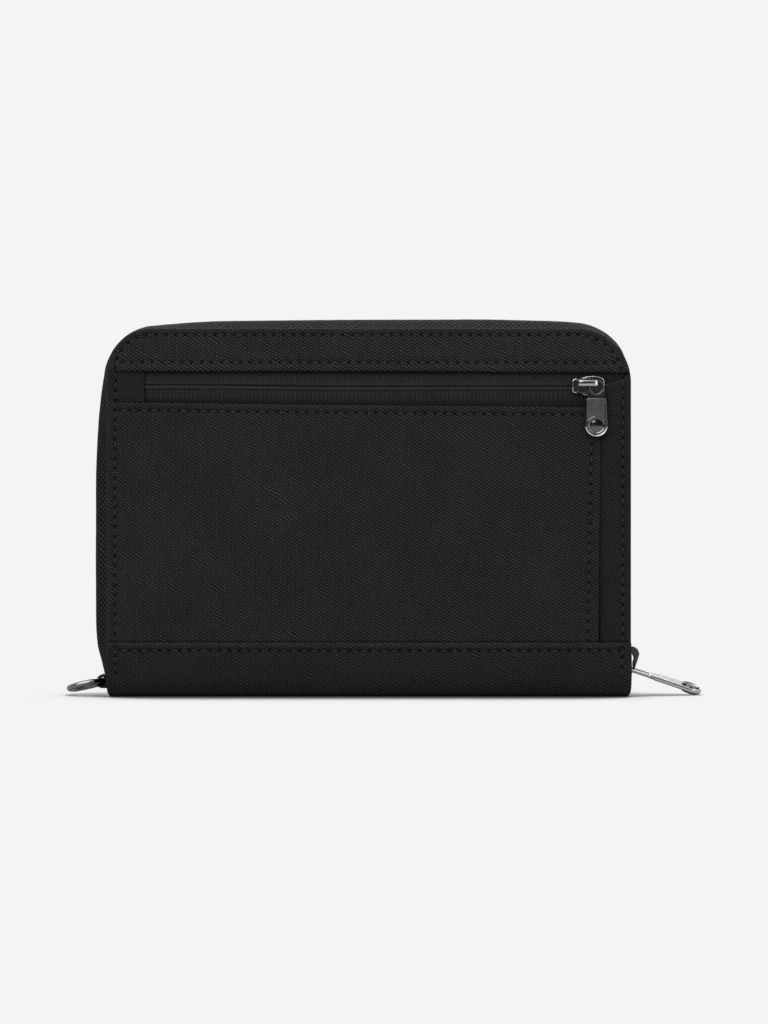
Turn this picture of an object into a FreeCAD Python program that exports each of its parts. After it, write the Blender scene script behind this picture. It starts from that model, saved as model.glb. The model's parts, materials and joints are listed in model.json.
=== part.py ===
"""Zip-around passport wallet, standing on its spine.

Row frame: millimetres, +X to the right along the spine, +Z up, and -Y towards the back cover, which
carries the outside zip pocket.  The origin is the middle of the spine's underside.  The wallet is shut and
unzipped: the main slider is parked at the open end of its chain, low on the right.

The wallet is sewn from flat sheets, so a cover is a stack of plates in layers of constant Y:

  back cover, from outside in:   spine band, pocket panels, pocket zip tapes and coils, pocket lining,
                                 main tape's sewn margin with the board inside it, lining, passport sleeve
  front cover, from outside in:  spine band, front panel, padding, board and tape margin, lining,
                                 card pockets

Each cover swings on its own fold line at the outer lower corner of the spine.
"""

import FreeCAD, Part
import math
import os

import Sketcher

Vector = FreeCAD.Vector

# Driving dimensions: alias, millimetres (or degrees), meaning.
SIZES = [
    ("panel_width", 147.2, "width of both covers"),
    ("panel_top", 103.6, "height of both covers above the floor"),
    ("corner_radius", 14.5, "upper corners of the covers"),
    ("half_depth", 11.0, "from the middle of the spine to a cover's outer face"),
    ("fabric", 0.75, "outer fabric"),
    ("thin_fabric", 0.35, "lining fabric"),
    ("ply_gap", 0.05, "air between two plies"),
    ("cover_start", 2.3, "bottom edge of the covers"),
    ("seam_width", 3.0, "seam allowance round a cover"),
    ("band_height", 15.3, "top edge of the spine band"),
    ("top_panel_edge", 91.3, "lower edge of the panel above the pocket zip"),
    ("pocket_edge_left", 82.6, "upper edge of the pocket panel, at its left end"),
    ("pocket_edge_right", 81.6, "and at its right end"),
    ("side_panel_inner", 64.8, "fold between pocket panel and side panel"),
    ("side_panel_top", 87.4, "upper edge of the side panel"),
    ("end_tab_width", 10.7, "patch over the left end of the pocket zip"),
    ("pocket_depth", 2.7, "room inside the zip pocket"),
    ("board", 1.0, "stiffening board"),
    ("padding", 1.9, "foam of the front cover"),
    ("tape", 0.5, "zip tape"),
    ("tape_margin", 5.0, "tape sewn into the cover"),
    ("chain_gap", 0.5, "gap between two tape edges"),
    ("chain_left", -77.3, "outer face of the main tape on the left"),
    ("chain_right", 72.6, "outer face of the main tape on the right"),
    ("chain_top", 106.5, "outer face of the main tape at the top"),
    ("chain_rise", 3.5, "how far the main tape stands out from its sewn edge"),
    ("chain_flat", 4.0, "half width of the flat strip beside the chain"),
    ("chain_corner", 13.5, "corner radius of the main tape's sewn edge"),
    ("tape_end", 6.5, "lower ends of the main tapes"),
    ("front_coil_start", 18.5, "lower end of the front coil, above the parked slider"),
    ("coil_radius", 0.5, "zip coil"),
    ("coil_offset", 0.85, "from the middle of the chain to a coil's centre"),
    ("pocket_chain", 86.9, "height of the pocket zip"),
    ("pocket_tape_half", 68.4, "half length of the pocket zip tapes"),
    ("pocket_slider_x", 61.6, "pocket slider when the pocket is shut"),
    ("main_slider_z", 10.3, "main slider when parked"),
    ("slider_length", 9.2, "slider"),
    ("slider_head", 6.4, "width at the slider's head"),
    ("slider_tail", 5.0, "width at the slider's tail"),
    ("slider_plate", 0.75, "plate of a slider"),
    ("slider_gap", 0.2, "play between slider and chain"),
    ("bridge_width", 2.0, "bridge over the slider"),
    ("bridge_stock", 0.9, "thickness of the bridge"),
    ("bridge_rise", 2.5, "height of the pocket slider's bridge above its plate"),
    ("main_pull_seat", 2.87, "main pull's bar, down from the middle of its slider"),
    ("main_pull_lift", 0.65, "main pull's bar, out from the slider's plate"),
    ("pull_thickness", 1.2, "blade of the pocket pull"),
    ("main_pull_thickness", 1.05, "blade of the main pull"),
    ("pull_rim", 0.85, "wire of a pull's eye"),
    ("pull_end_radius", 3.25, "round end of a pull"),
    ("pocket_pull_reach", 14.15, "pocket pull, pivot to tip"),
    ("main_pull_reach", 21.1, "main pull, pivot to tip"),
    ("main_pull_droop", 17.5, "main pull below the horizontal"),
    ("ring_wire", 1.0, "wire radius of the strap ring"),
    ("ring_half_width", 5.6, "half width of the ring, centre of the wire"),
    ("ring_reach", 9.5, "length of the ring, centre of the wire"),
    ("ring_x", -75.6, "ring's bar"),
    ("ring_z", 3.95, "height of the ring's bar"),
    ("ring_droop", 13.0, "ring below the horizontal"),
    ("webbing", 0.8, "strap tab"),
    ("webbing_width", 7.0, "width of the strap tab"),
    ("sleeve_half_width", 65.0, "passport sleeve"),
    ("sleeve_top", 74.0, "top edge of the passport sleeve"),
    ("sleeve_room", 4.7, "thickness of passport the sleeve holds"),
    ("card_width", 90.0, "card pockets"),
    ("card_room", 0.8, "thickness of card each pocket holds"),
    ("card_ply", 0.4, "fabric of a card pocket"),
    ("card_step", 11.5, "each card pocket is this much lower"),
    ("card_top", 84.0, "top edge of the highest card pocket"),
    ("card_middle", -2.0, "middle of the card pockets"),
    ("stitch_pitch", 2.85, "stitch to stitch"),
    ("stitch_gap", 0.65, "part of each pitch where the thread is inside the cloth"),
    ("thread_radius", 0.15, "sewing thread"),
    ("stitch_inset", 2.3, "edge seam, in from a cover's edge"),
]

CARD_POCKETS = 4
STOP_LENGTH = 1.4  # a metal stop, along its chain
STOP_DEPTH = 1.1


class Size:
    """A length that carries both its value and the sheet expression that gives it."""

    def __init__(self, value, text):
        self.value = float(value)
        self.text = text

    def _join(self, sign, other, value):
        return Size(value, f"({self.text} {sign} {size(other).text})")

    def __add__(self, other):
        return self._join("+", other, self.value + size(other).value)

    def __sub__(self, other):
        return self._join("-", other, self.value - size(other).value)

    def __mul__(self, other):
        return self._join("*", other, self.value * size(other).value)

    def __truediv__(self, other):
        return self._join("/", other, self.value / size(other).value)

    def __radd__(self, other):
        return size(other) + self

    def __rsub__(self, other):
        return size(other) - self

    def __rmul__(self, other):
        return size(other) * self

    def __neg__(self):
        return size(0) - self


def size(value):
    return value if isinstance(value, Size) else Size(value, f"({float(value):.9g})")


def make_sheet(doc):
    sheet = doc.addObject("Spreadsheet::Sheet", "Sizes")
    for row, (alias, value, meaning) in enumerate(SIZES, start=1):
        sheet.set(f"A{row}", alias)
        sheet.set(f"B{row}", str(value))
        sheet.setAlias(f"B{row}", alias)
        sheet.set(f"C{row}", meaning)
    doc.recompute()
    return {alias: Size(sheet.get(alias), f"Sizes.{alias}") for alias, _, _ in SIZES}


doc = FreeCAD.newDocument("PassportWallet")
S = make_sheet(doc)
SUB_PARTS = []

# ---------------------------------------------------------------- sketches and features


def new_body(label):
    body = doc.addObject("PartDesign::Body", label)
    body.Label = label
    SUB_PARTS.append(body)
    return body


def place(obj, x=0, y=0, z=0, rotation=None):
    """Puts a sub-part in the row frame, its position bound to the sheet."""
    where = [size(v) for v in (x, y, z)]
    obj.Placement = FreeCAD.Placement(Vector(*[v.value for v in where]), rotation or FreeCAD.Rotation())
    for axis, v in zip("xyz", where):
        obj.setExpression(f"Placement.Base.{axis}", v.text)


def new_sketch(body, plane, offset=0):
    """A sketch on one of the body's origin planes: front (x, z), top (x, y) or side (y, z).

    offset moves it along +Y, +Z or +X.
    """
    role = {"front": "XZ_Plane", "top": "XY_Plane", "side": "YZ_Plane"}[plane]
    sketch = body.newObject("Sketcher::SketchObject", body.Label + "_sketch")
    origin = [f for f in body.Origin.OriginFeatures if f.Role == role][0]
    sketch.AttachmentSupport = (origin, [""])
    sketch.MapMode = "FlatFace"
    # The front plane's own normal is -Y.
    along = -size(offset) if plane == "front" else size(offset)
    sketch.AttachmentOffset = FreeCAD.Placement(Vector(0, 0, along.value), FreeCAD.Rotation())
    sketch.setExpression("AttachmentOffset.Base.z", along.text)
    return sketch


def dimension(sketch, kind, where, value):
    """Adds a named dimension to the sketch and binds it to the sheet."""
    number = sketch.addConstraint(Sketcher.Constraint(kind, *where, value.value))
    name = f"{kind}_{number}"
    sketch.renameConstraint(number, name)
    sketch.setExpression(f"Constraints.{name}", value.text)


def pin_point(sketch, geometry, end, x, y):
    dimension(sketch, "DistanceX", (-1, 1, geometry, end), size(x))
    dimension(sketch, "DistanceY", (-1, 1, geometry, end), size(y))


def draw_loop(sketch, corners, closed=True):
    """Draws an outline through corners, each (x, y) or (x, y, radius).

    An edge that ends in a rounded corner runs along x or y.  Every corner is dimensioned from the origin.
    """
    corners = [tuple(size(v) for v in c) for c in corners]
    points = [Vector(c[0].value, c[1].value, 0) for c in corners]
    count = len(corners)
    rounded = [len(c) == 3 for c in corners]
    edges = count if closed else count - 1
    start = [Vector(p) for p in points]
    end = [Vector(p) for p in points]
    arcs = {}
    for k in range(count):
        if not rounded[k]:
            continue
        before = (points[k - 1] - points[k]).normalize()
        after = (points[(k + 1) % count] - points[k]).normalize()
        r = corners[k][2].value
        first, last = points[k] + before * r, points[k] + after * r
        centre = points[k] + (before + after) * r
        turns_left = (before * -1).cross(after).z > 0
        a, b = (first, last) if turns_left else (last, first)
        angle_a = math.atan2(a.y - centre.y, a.x - centre.x)
        angle_b = math.atan2(b.y - centre.y, b.x - centre.x)
        if angle_b < angle_a:
            angle_b += 2 * math.pi
        arc = Part.ArcOfCircle(Part.Circle(centre, Vector(0, 0, 1), r), angle_a, angle_b)
        arcs[k] = (arc, 1 if turns_left else 2, 2 if turns_left else 1)
        end[k], start[k] = first, last
    base = sketch.GeometryCount
    lines = [base + k for k in range(edges)]
    for k in range(edges):
        sketch.addGeometry(Part.LineSegment(start[k], end[(k + 1) % count]), False)
    for k, (arc, arc_in, arc_out) in arcs.items():
        number = sketch.addGeometry(arc, False)
        sketch.addConstraint(Sketcher.Constraint("Tangent", lines[k - 1], 2, number, arc_in))
        sketch.addConstraint(Sketcher.Constraint("Tangent", number, arc_out, lines[k], 1))
        dimension(sketch, "Radius", (number,), corners[k][2])
    for k in range(count):
        if rounded[k]:
            continue
        if k < edges:
            pin_point(sketch, lines[k], 1, corners[k][0], corners[k][1])
            if k > 0 or closed:
                sketch.addConstraint(Sketcher.Constraint("Coincident", lines[k - 1], 2, lines[k], 1))
        else:
            pin_point(sketch, lines[k - 1], 2, corners[k][0], corners[k][1])
    for k in range(edges):
        after = (k + 1) % count
        if not (rounded[k] or rounded[after]):
            continue
        level = abs(points[k].y - points[after].y) < 1e-6
        sketch.addConstraint(Sketcher.Constraint("Horizontal" if level else "Vertical", lines[k]))
        if rounded[k] and rounded[after]:
            kind, value = ("DistanceY", corners[k][1]) if level else ("DistanceX", corners[k][0])
            dimension(sketch, kind, (-1, 1, lines[k], 1), value)


def draw_circle(sketch, x, y, radius):
    x, y, radius = size(x), size(y), size(radius)
    circle = Part.Circle(Vector(x.value, y.value, 0), Vector(0, 0, 1), radius.value)
    number = sketch.addGeometry(circle, False)
    pin_point(sketch, number, 3, x, y)
    dimension(sketch, "Radius", (number,), radius)


def pad(body, sketch, length, both_sides=False):
    """Pads towards +Y, +Z or +X, or to both sides of the sketch."""
    feature = body.newObject("PartDesign::Pad", body.Label + "_pad")
    feature.Profile = sketch
    feature.Length = size(length).value
    feature.setExpression("Length", size(length).text)
    if both_sides:
        feature.SideType = "Symmetric"
    elif sketch.AttachmentSupport[0][0].Role == "XZ_Plane":
        feature.Reversed = True
    body.Tip = feature
    return feature


def pocket(body, sketch, length, both_sides=False):
    """Cuts towards +Y, +Z or +X, and fails if it cut nothing."""
    doc.recompute()
    before = body.Shape.Volume
    feature = body.newObject("PartDesign::Pocket", body.Label + "_pocket")
    feature.Profile = sketch
    feature.Length = size(length).value
    feature.setExpression("Length", size(length).text)
    if both_sides:
        feature.SideType = "Symmetric"
    elif sketch.AttachmentSupport[0][0].Role != "XZ_Plane":
        feature.Reversed = True
    body.Tip = feature
    doc.recompute()
    if not body.Shape.Volume < before - 1e-3:
        raise RuntimeError(f"{body.Label}: a pocket cut nothing")
    return feature


def soften(body, radius, wanted):
    """Fillets the edges of the body that wanted(edge) picks."""
    doc.recompute()
    last = body.Tip
    names = [f"Edge{n}" for n, e in enumerate(last.Shape.Edges, start=1) if wanted(e)]
    feature = body.newObject("PartDesign::Fillet", body.Label + "_fillet")
    feature.Base = (last, names)
    feature.Radius = size(radius).value
    feature.setExpression("Radius", size(radius).text)
    body.Tip = feature
    doc.recompute()


def plate(label, plane, loops, start, thickness):
    """A sheet cut to outlines, from start to start + thickness along the plane's normal."""
    body = new_body(label)
    sketch = new_sketch(body, plane)
    for loop in loops:
        draw_loop(sketch, loop)
    pad(body, sketch, thickness)
    axis = {"front": "y", "top": "z", "side": "x"}[plane]
    place(body, **{axis: start})
    return body


def tray(label, outer, inner, start, thickness, hollow_start, hollow_depth):
    """A plate in the front plane with a hollow cut from hollow_start, measured from its own start."""
    body = plate(label, "front", [outer], start, thickness)
    sketch = new_sketch(body, "front", hollow_start)
    draw_loop(sketch, inner)
    pocket(body, sketch, hollow_depth)
    return body


def box(label, x, y, z):
    """A plain block between the given (low, high) pairs."""
    block = doc.addObject("Part::Box", label)
    block.Label = label
    for name, (low, high) in zip(("Length", "Width", "Height"), (x, y, z)):
        block.setExpression(name, (size(high) - low).text)
    place(block, x[0], y[0], z[0])
    return block


def group(label, pieces):
    """One sub-part made of separate pieces of the same kind."""
    together = doc.addObject("Part::Compound", label)
    together.Label = label
    together.Links = pieces
    SUB_PARTS.append(together)


def rectangle(x0, x1, y0, y1):
    return [(x0, y0), (x1, y0), (x1, y1), (x0, y1)]


def cover_outline(inset=0, bottom=None, radius=None):
    """A cover's outline: square below, round above, inset all round."""
    side = S["panel_width"] / 2 - inset
    top = S["panel_top"] - inset
    low = S["cover_start"] + inset if bottom is None else size(bottom)
    round_ = S["corner_radius"] - inset if radius is None else size(radius)
    return [(-side, low), (side, low), (side, top, round_), (-side, top, round_)]


# ---------------------------------------------------------------- spine

half_width = S["panel_width"] / 2


def build_spine():
    base = rectangle(-half_width, half_width, -S["half_depth"], S["half_depth"])
    board = rectangle(-half_width + 3, half_width - 3, size(-9), size(9))
    lining = rectangle(-half_width + 1, half_width - 1, size(-9.4), size(9.4))
    plate("spine_base", "top", [base], 0, 0.7)
    plate("spine_board", "top", [board], 0.75, 0.7)
    plate("spine_lining", "top", [lining], 1.5, 0.35)

    body = new_body("ring_tab")
    inner = S["ring_wire"] + 0.15
    outer = inner + S["webbing"]
    far, low, high = S["ring_x"] - outer, S["ring_z"] - outer, S["ring_z"] + outer
    end = size(-67)
    loop = [(end, low), (far, low, outer * 0.9), (far, high, outer * 0.9), (end, high)]
    loop += [(end, high - S["webbing"]), (far + S["webbing"], high - S["webbing"], inner * 0.9)]
    loop += [(far + S["webbing"], low + S["webbing"], inner * 0.9), (end, low + S["webbing"])]
    sketch = new_sketch(body, "front")
    draw_loop(sketch, loop)
    pad(body, sketch, S["webbing_width"], both_sides=True)
    place(body)


def build_strap_ring():
    body = new_body("strap_ring")
    width, reach = S["ring_half_width"], S["ring_reach"]
    path = new_sketch(body, "top")
    bow = width - 0.2
    draw_loop(path, [(0, 0), (0, -width, 1.5), (reach, -width, bow), (reach, width, bow), (0, width, 1.5)])
    profile = new_sketch(body, "front")
    draw_circle(profile, 0, 0, S["ring_wire"])
    sweep(body, profile, path)
    droop = math.radians(S["ring_droop"].value)
    outward = Vector(-math.cos(droop), 0, -math.sin(droop))
    normal = Vector(-math.sin(droop), 0, math.cos(droop))
    place(body, S["ring_x"], 0, S["ring_z"], FreeCAD.Rotation(outward, Vector(0, -1, 0), normal, "ZXY"))


def sweep(body, profile, path):
    doc.recompute()
    feature = body.newObject("PartDesign::AdditivePipe", body.Label + "_sweep")
    feature.Profile = profile
    feature.Spine = path
    body.Tip = feature
    return feature


# ---------------------------------------------------------------- main zip, round three sides


def main_path(body, left_end, right_end):
    """The sewn edge of the main zip: up the left, along the top and down the right."""
    left = S["chain_left"] + S["chain_rise"]
    right = S["chain_right"] - S["chain_rise"]
    top = S["chain_top"] - S["chain_rise"]
    path = new_sketch(body, "front")
    corner = S["chain_corner"]
    course = [(left, left_end), (left, top, corner), (right, top, corner), (right, right_end)]
    draw_loop(path, course, closed=False)
    return path


def main_tape(label, side, margin_outer, margin_inner):
    """Half of the main tape.  side is -1 for the back cover and +1 for the front.

    The section is a flat margin sewn inside the cover, a slope out of the cover's edge, and a flat strip
    that ends at the chain.
    """
    body = new_body(label)
    edge = S["chain_left"] + S["chain_rise"]
    face, back = S["chain_left"], S["chain_left"] + S["tape"]
    near, flat = S["chain_gap"] / 2 * side, S["chain_flat"] * side
    section = [
        (edge + S["tape_margin"], margin_outer),
        (edge - 0.35, margin_outer),
        (face, flat),
        (face, near),
        (back, near),
        (back, flat + 0.2 * side),
        (edge - 0.1, margin_inner),
        (edge + S["tape_margin"], margin_inner),
    ]
    path = main_path(body, S["tape_end"], S["tape_end"])
    profile = new_sketch(body, "top", S["tape_end"])
    draw_loop(profile, section)
    sweep(body, profile, path)
    place(body)


def main_coil(label, side, right_end):
    body = new_body(label)
    left_end = S["tape_end"] + 1.5
    path = main_path(body, left_end, right_end)
    profile = new_sketch(body, "top", left_end)
    middle = S["chain_left"] + S["tape"] + 0.05 + S["coil_radius"]
    draw_circle(profile, middle, S["coil_offset"] * side, S["coil_radius"])
    sweep(body, profile, path)
    place(body)


def main_stops(label, side, right_low):
    """The crimped metal stops at both ends of one coil, inside the tape."""
    near, far = S["chain_gap"] / 2, S["coil_offset"] + S["coil_radius"] + 0.3
    across = (near, far) if side > 0 else (-far, -near)
    left = S["chain_left"] + S["tape"] + S["ply_gap"]
    right = S["chain_right"] - S["tape"] - S["ply_gap"]
    low = S["tape_end"] + S["ply_gap"]
    pieces = [
        box(label + "_left", (left, left + STOP_DEPTH), across, (low, low + STOP_LENGTH)),
        box(label + "_right", (right - STOP_DEPTH, right), across, (right_low, right_low + STOP_LENGTH)),
    ]
    group(label, pieces)


# ---------------------------------------------------------------- back cover

panel_face = -S["half_depth"] + S["fabric"]  # outer face of the pocket panels
panel_back = panel_face + S["fabric"]
tape_face = panel_back + 0.2
tape_back = tape_face + S["tape"]
lining_start = panel_back + S["pocket_depth"]  # sheet of the pocket lining
margin_back = lining_start + S["thin_fabric"]  # outer face of the main tape's margin
board_back_end = margin_back + S["board"]


def build_back_cover():
    band = rectangle(-half_width, half_width, 0.8, S["band_height"])
    plate("back_spine_band", "front", [band], -S["half_depth"], S["fabric"] - S["ply_gap"])
    ply = S["fabric"] - S["ply_gap"]
    side_inner = S["side_panel_inner"]

    top = plate("pocket_top_panel", "front", [cover_outline()], panel_face, ply)
    below = new_sketch(top, "front")
    draw_loop(below, rectangle(-half_width - 1, half_width + 1, 0, S["top_panel_edge"]))
    pocket(top, below, S["fabric"])

    low = S["cover_start"]
    inner, column_top = side_inner + 0.1, S["side_panel_top"]
    panel = rectangle(-half_width, side_inner - 0.1, low, S["pocket_edge_left"])
    panel[2] = (side_inner - 0.1, S["pocket_edge_right"])
    plate("pocket_front_panel", "front", [panel], panel_face, ply)
    # The side panel's upper corner is turned back beside the parked slider.
    column = [(inner, low), (half_width, low), (half_width, column_top), (inner + 1.8, column_top)]
    column += [(inner + 1.8, column_top - 4.2), (inner, column_top - 4.6)]
    plate("pocket_side_panel", "front", [column], panel_face, ply)
    window_low, window_high = S["pocket_edge_left"] + 0.1, S["top_panel_edge"] - 0.05
    patch = rectangle(-half_width, -half_width + S["end_tab_width"], window_low, window_high)
    plate("pocket_zip_end_tab", "front", [patch], panel_face + 0.15, ply - 0.15)

    chain, half = S["pocket_chain"], S["pocket_tape_half"]
    edge = S["chain_gap"] / 2
    upper = rectangle(-half, half, chain + edge, chain + edge + 5.8)
    lower = rectangle(-half, half, chain - edge - 7.2, chain - edge)
    plate("pocket_tape_upper", "front", [upper], tape_face, S["tape"])
    plate("pocket_tape_lower", "front", [lower], tape_face, S["tape"])
    build_pocket_coils()
    inner = cover_outline(S["seam_width"])
    sheet = S["thin_fabric"] - S["ply_gap"]
    start = panel_back
    tray("pocket_lining", cover_outline(), inner, start, S["pocket_depth"] + sheet, 0, S["pocket_depth"])

    board = board_outline()
    plate("back_board", "front", [board], margin_back + S["ply_gap"], S["board"] - 2 * S["ply_gap"].value)
    main_tape("back_main_tape", -1, margin_back + S["ply_gap"], margin_back + S["ply_gap"] + S["tape"])
    main_coil("back_main_coil", -1, S["tape_end"] + 1.5)
    main_stops("back_main_stops", -1, S["tape_end"] + S["ply_gap"])
    plate("back_lining", "front", [lining_outline()], board_back_end, S["thin_fabric"])
    build_passport_sleeve(board_back_end + S["thin_fabric"])


def outline_within_tape(clear, low):
    """An outline that keeps clear of the main tape's sewn edge."""
    left = S["chain_left"] + S["chain_rise"] + clear
    right = S["chain_right"] - S["chain_rise"] - clear
    top = S["chain_top"] - S["chain_rise"] - clear
    corner = S["chain_corner"] - clear
    return [(left, low), (right, low), (right, top, corner), (left, top, corner)]


def board_outline():
    """The board fills the space inside the sewn margins of the main tape."""
    return outline_within_tape(S["tape_margin"] + 0.2, 7)


def lining_outline():
    """The lining is sewn down along the inside of the tape."""
    return outline_within_tape(size(0.3), S["cover_start"])


def build_pocket_coils():
    left, right = -S["pocket_tape_half"] + 2.5, S["pocket_tape_half"] - 2.4
    depth = tape_back + 0.05 + S["coil_radius"]
    for label, side in (("pocket_coil_upper", 1), ("pocket_coil_lower", -1)):
        body = new_body(label)
        sketch = new_sketch(body, "side")
        draw_circle(sketch, 0, 0, S["coil_radius"])
        pad(body, sketch, right - left)
        place(body, left, depth, S["pocket_chain"] + S["coil_offset"] * side)
    near, far = S["chain_gap"] / 2 + 0.1, S["chain_gap"] / 2 + 1.6
    deep = (tape_back + S["ply_gap"], tape_back + S["ply_gap"] + STOP_DEPTH)
    end = (right + 0.3, right + 0.3 + STOP_LENGTH)
    chain = S["pocket_chain"]
    pieces = [
        box("pocket_bottom_stop", (left - 0.3 - STOP_LENGTH, left - 0.3), deep, (chain - far, chain + far)),
        box("pocket_top_stop_upper", end, deep, (chain + near, chain + far)),
        box("pocket_top_stop_lower", end, deep, (chain - far, chain - near)),
    ]
    group("pocket_zip_stops", pieces)


def build_passport_sleeve(start):
    """A gusseted sleeve, open at the top, with a thumb notch."""
    wide, top, low = S["sleeve_half_width"], S["sleeve_top"], size(4)
    room, wall = S["sleeve_room"], 1.0
    outer = rectangle(-wide, wide, low, top)
    inner = rectangle(-wide + wall, wide - wall, low + wall, top + 1)
    body = tray("passport_sleeve", outer, inner, start + S["ply_gap"], room + 0.5, 0, room)
    notch = new_sketch(body, "front")
    draw_circle(notch, 0, top, 11)
    pocket(body, notch, room + 1)


# ---------------------------------------------------------------- front cover


def build_front_cover():
    face = S["half_depth"] - S["fabric"]
    panel_inner = face - S["fabric"] + S["ply_gap"]
    band = rectangle(-half_width, half_width, 0.8, S["band_height"])
    plate("front_spine_band", "front", [band], face + S["ply_gap"], S["fabric"] - S["ply_gap"])
    plate("front_panel", "front", [cover_outline()], panel_inner, S["fabric"] - S["ply_gap"])
    pad_start = panel_inner - S["ply_gap"] - S["padding"]
    plate("front_padding", "front", [cover_outline(S["seam_width"])], pad_start, S["padding"])
    board_start = pad_start - S["ply_gap"] - S["board"]
    plate("front_board", "front", [board_outline()], board_start, S["board"])
    margin = pad_start - 0.15
    main_tape("front_main_tape", 1, margin, margin - S["tape"])
    main_coil("front_main_coil", 1, S["front_coil_start"])
    main_stops("front_main_stops", 1, S["front_coil_start"] - STOP_LENGTH - S["ply_gap"])
    lining = board_start - S["ply_gap"] - S["thin_fabric"]
    plate("front_lining", "front", [lining_outline()], lining, S["thin_fabric"])
    build_card_pockets(lining)


def build_card_pockets(lining):
    """Staggered card pockets, each sewn at its sides and bottom to the one behind."""
    left = S["card_middle"] - S["card_width"] / 2
    right = S["card_middle"] + S["card_width"] / 2
    wall = 1.2
    face = lining
    for k in range(CARD_POCKETS):
        top = S["card_top"] - S["card_step"] * k
        depth = S["card_room"] + S["card_ply"]
        start = face - S["ply_gap"] - depth
        outer = rectangle(left, right, 6, top)
        inner = rectangle(left + wall, right - wall, 6 + wall, top + 1)
        tray(f"card_pocket_{k + 1}", outer, inner, start, depth, S["card_ply"], S["card_room"] + 1)
        face = start


# ---------------------------------------------------------------- sliders and pulls
#
# A slider is built with its head towards +x, its width along y and the outside of the chain towards +z.
# z = 0 is the outer face of the tape.


def slider_body(label, x, y, z, rotation):
    """Two plates joined by a thin web between the halves of the chain, with flanges round the coils."""
    body = new_body(label)
    half, head, tail = S["slider_length"] / 2, S["slider_head"] / 2, S["slider_tail"] / 2
    shoulder = half - 3.2
    shape = [(-half, -tail), (shoulder, -tail), (half - 1.2, -head), (half, -head + 1.0)]
    shape += [(half, head - 1.0), (half - 1.2, head), (shoulder, tail), (-half, tail)]
    gap, thick = S["slider_gap"], S["slider_plate"]
    under = S["tape"] + S["coil_radius"] * 2 + 0.05 + gap

    sketch = new_sketch(body, "top", gap)
    draw_loop(sketch, shape)
    pad(body, sketch, thick)
    web = new_sketch(body, "top", -under)
    draw_loop(web, rectangle(half - 2.6, half - 0.8, -0.11, 0.11))
    pad(body, web, under + gap)
    lower = new_sketch(body, "top", -under - thick + 0.1)
    draw_loop(lower, shape)
    pad(body, lower, thick - 0.1)
    for side in (1, -1):
        flange = new_sketch(body, "top", -under)
        draw_loop(flange, rectangle(-half, half - 0.2, (tail - 0.6) * side, tail * side))
        pad(body, flange, under - S["tape"] - 0.3)
    outer_z = gap.value + thick.value

    def on_outer_rim(edge):
        return all(abs(v.Point.z - outer_z) < 1e-4 for v in edge.Vertexes)

    soften(body, 0.3, on_outer_rim)
    place(body, x, y, z, rotation)


def slider_bridge(label, outline, rounding, x, y, z, rotation):
    """The strap over the slider that carries the pull; its outline is (along the slider, out from it)."""
    body = new_body(label)
    face = S["slider_gap"] + S["slider_plate"] + 0.02
    sketch = new_sketch(body, "front")
    draw_loop(sketch, [(along, face + out) for along, out in outline])
    pad(body, sketch, S["bridge_width"], both_sides=True)
    floor = face.value

    def runs_across(edge):
        a, b = (v.Point for v in edge.Vertexes)
        return abs(abs(a.y - b.y) - S["bridge_width"].value) < 1e-4 and a.z > floor + 0.1

    soften(body, rounding, runs_across)
    place(body, x, y, z, rotation)


def pull_blade(body, start, reach, thickness, discs):
    """The tapered blade of a pull and its round end: discs of (radius, below, above), outer face dished."""
    end = S["pull_end_radius"]
    middle = reach - end
    blade = new_sketch(body, "top", -thickness / 2)
    narrow, wide = 2.2, end - 0.25
    draw_loop(blade, [(start, -narrow), (middle, -wide), (middle, wide), (start, narrow)])
    pad(body, blade, thickness)
    for radius, below, above in discs:
        disc = new_sketch(body, "top", -size(below))
        draw_circle(disc, middle, 0, radius)
        pad(body, disc, below + above)
    dish = new_sketch(body, "top", discs[-1][2] - 0.15)
    draw_circle(dish, middle, 0, discs[-1][0] - 0.5)
    pocket(body, dish, 0.5)


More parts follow.
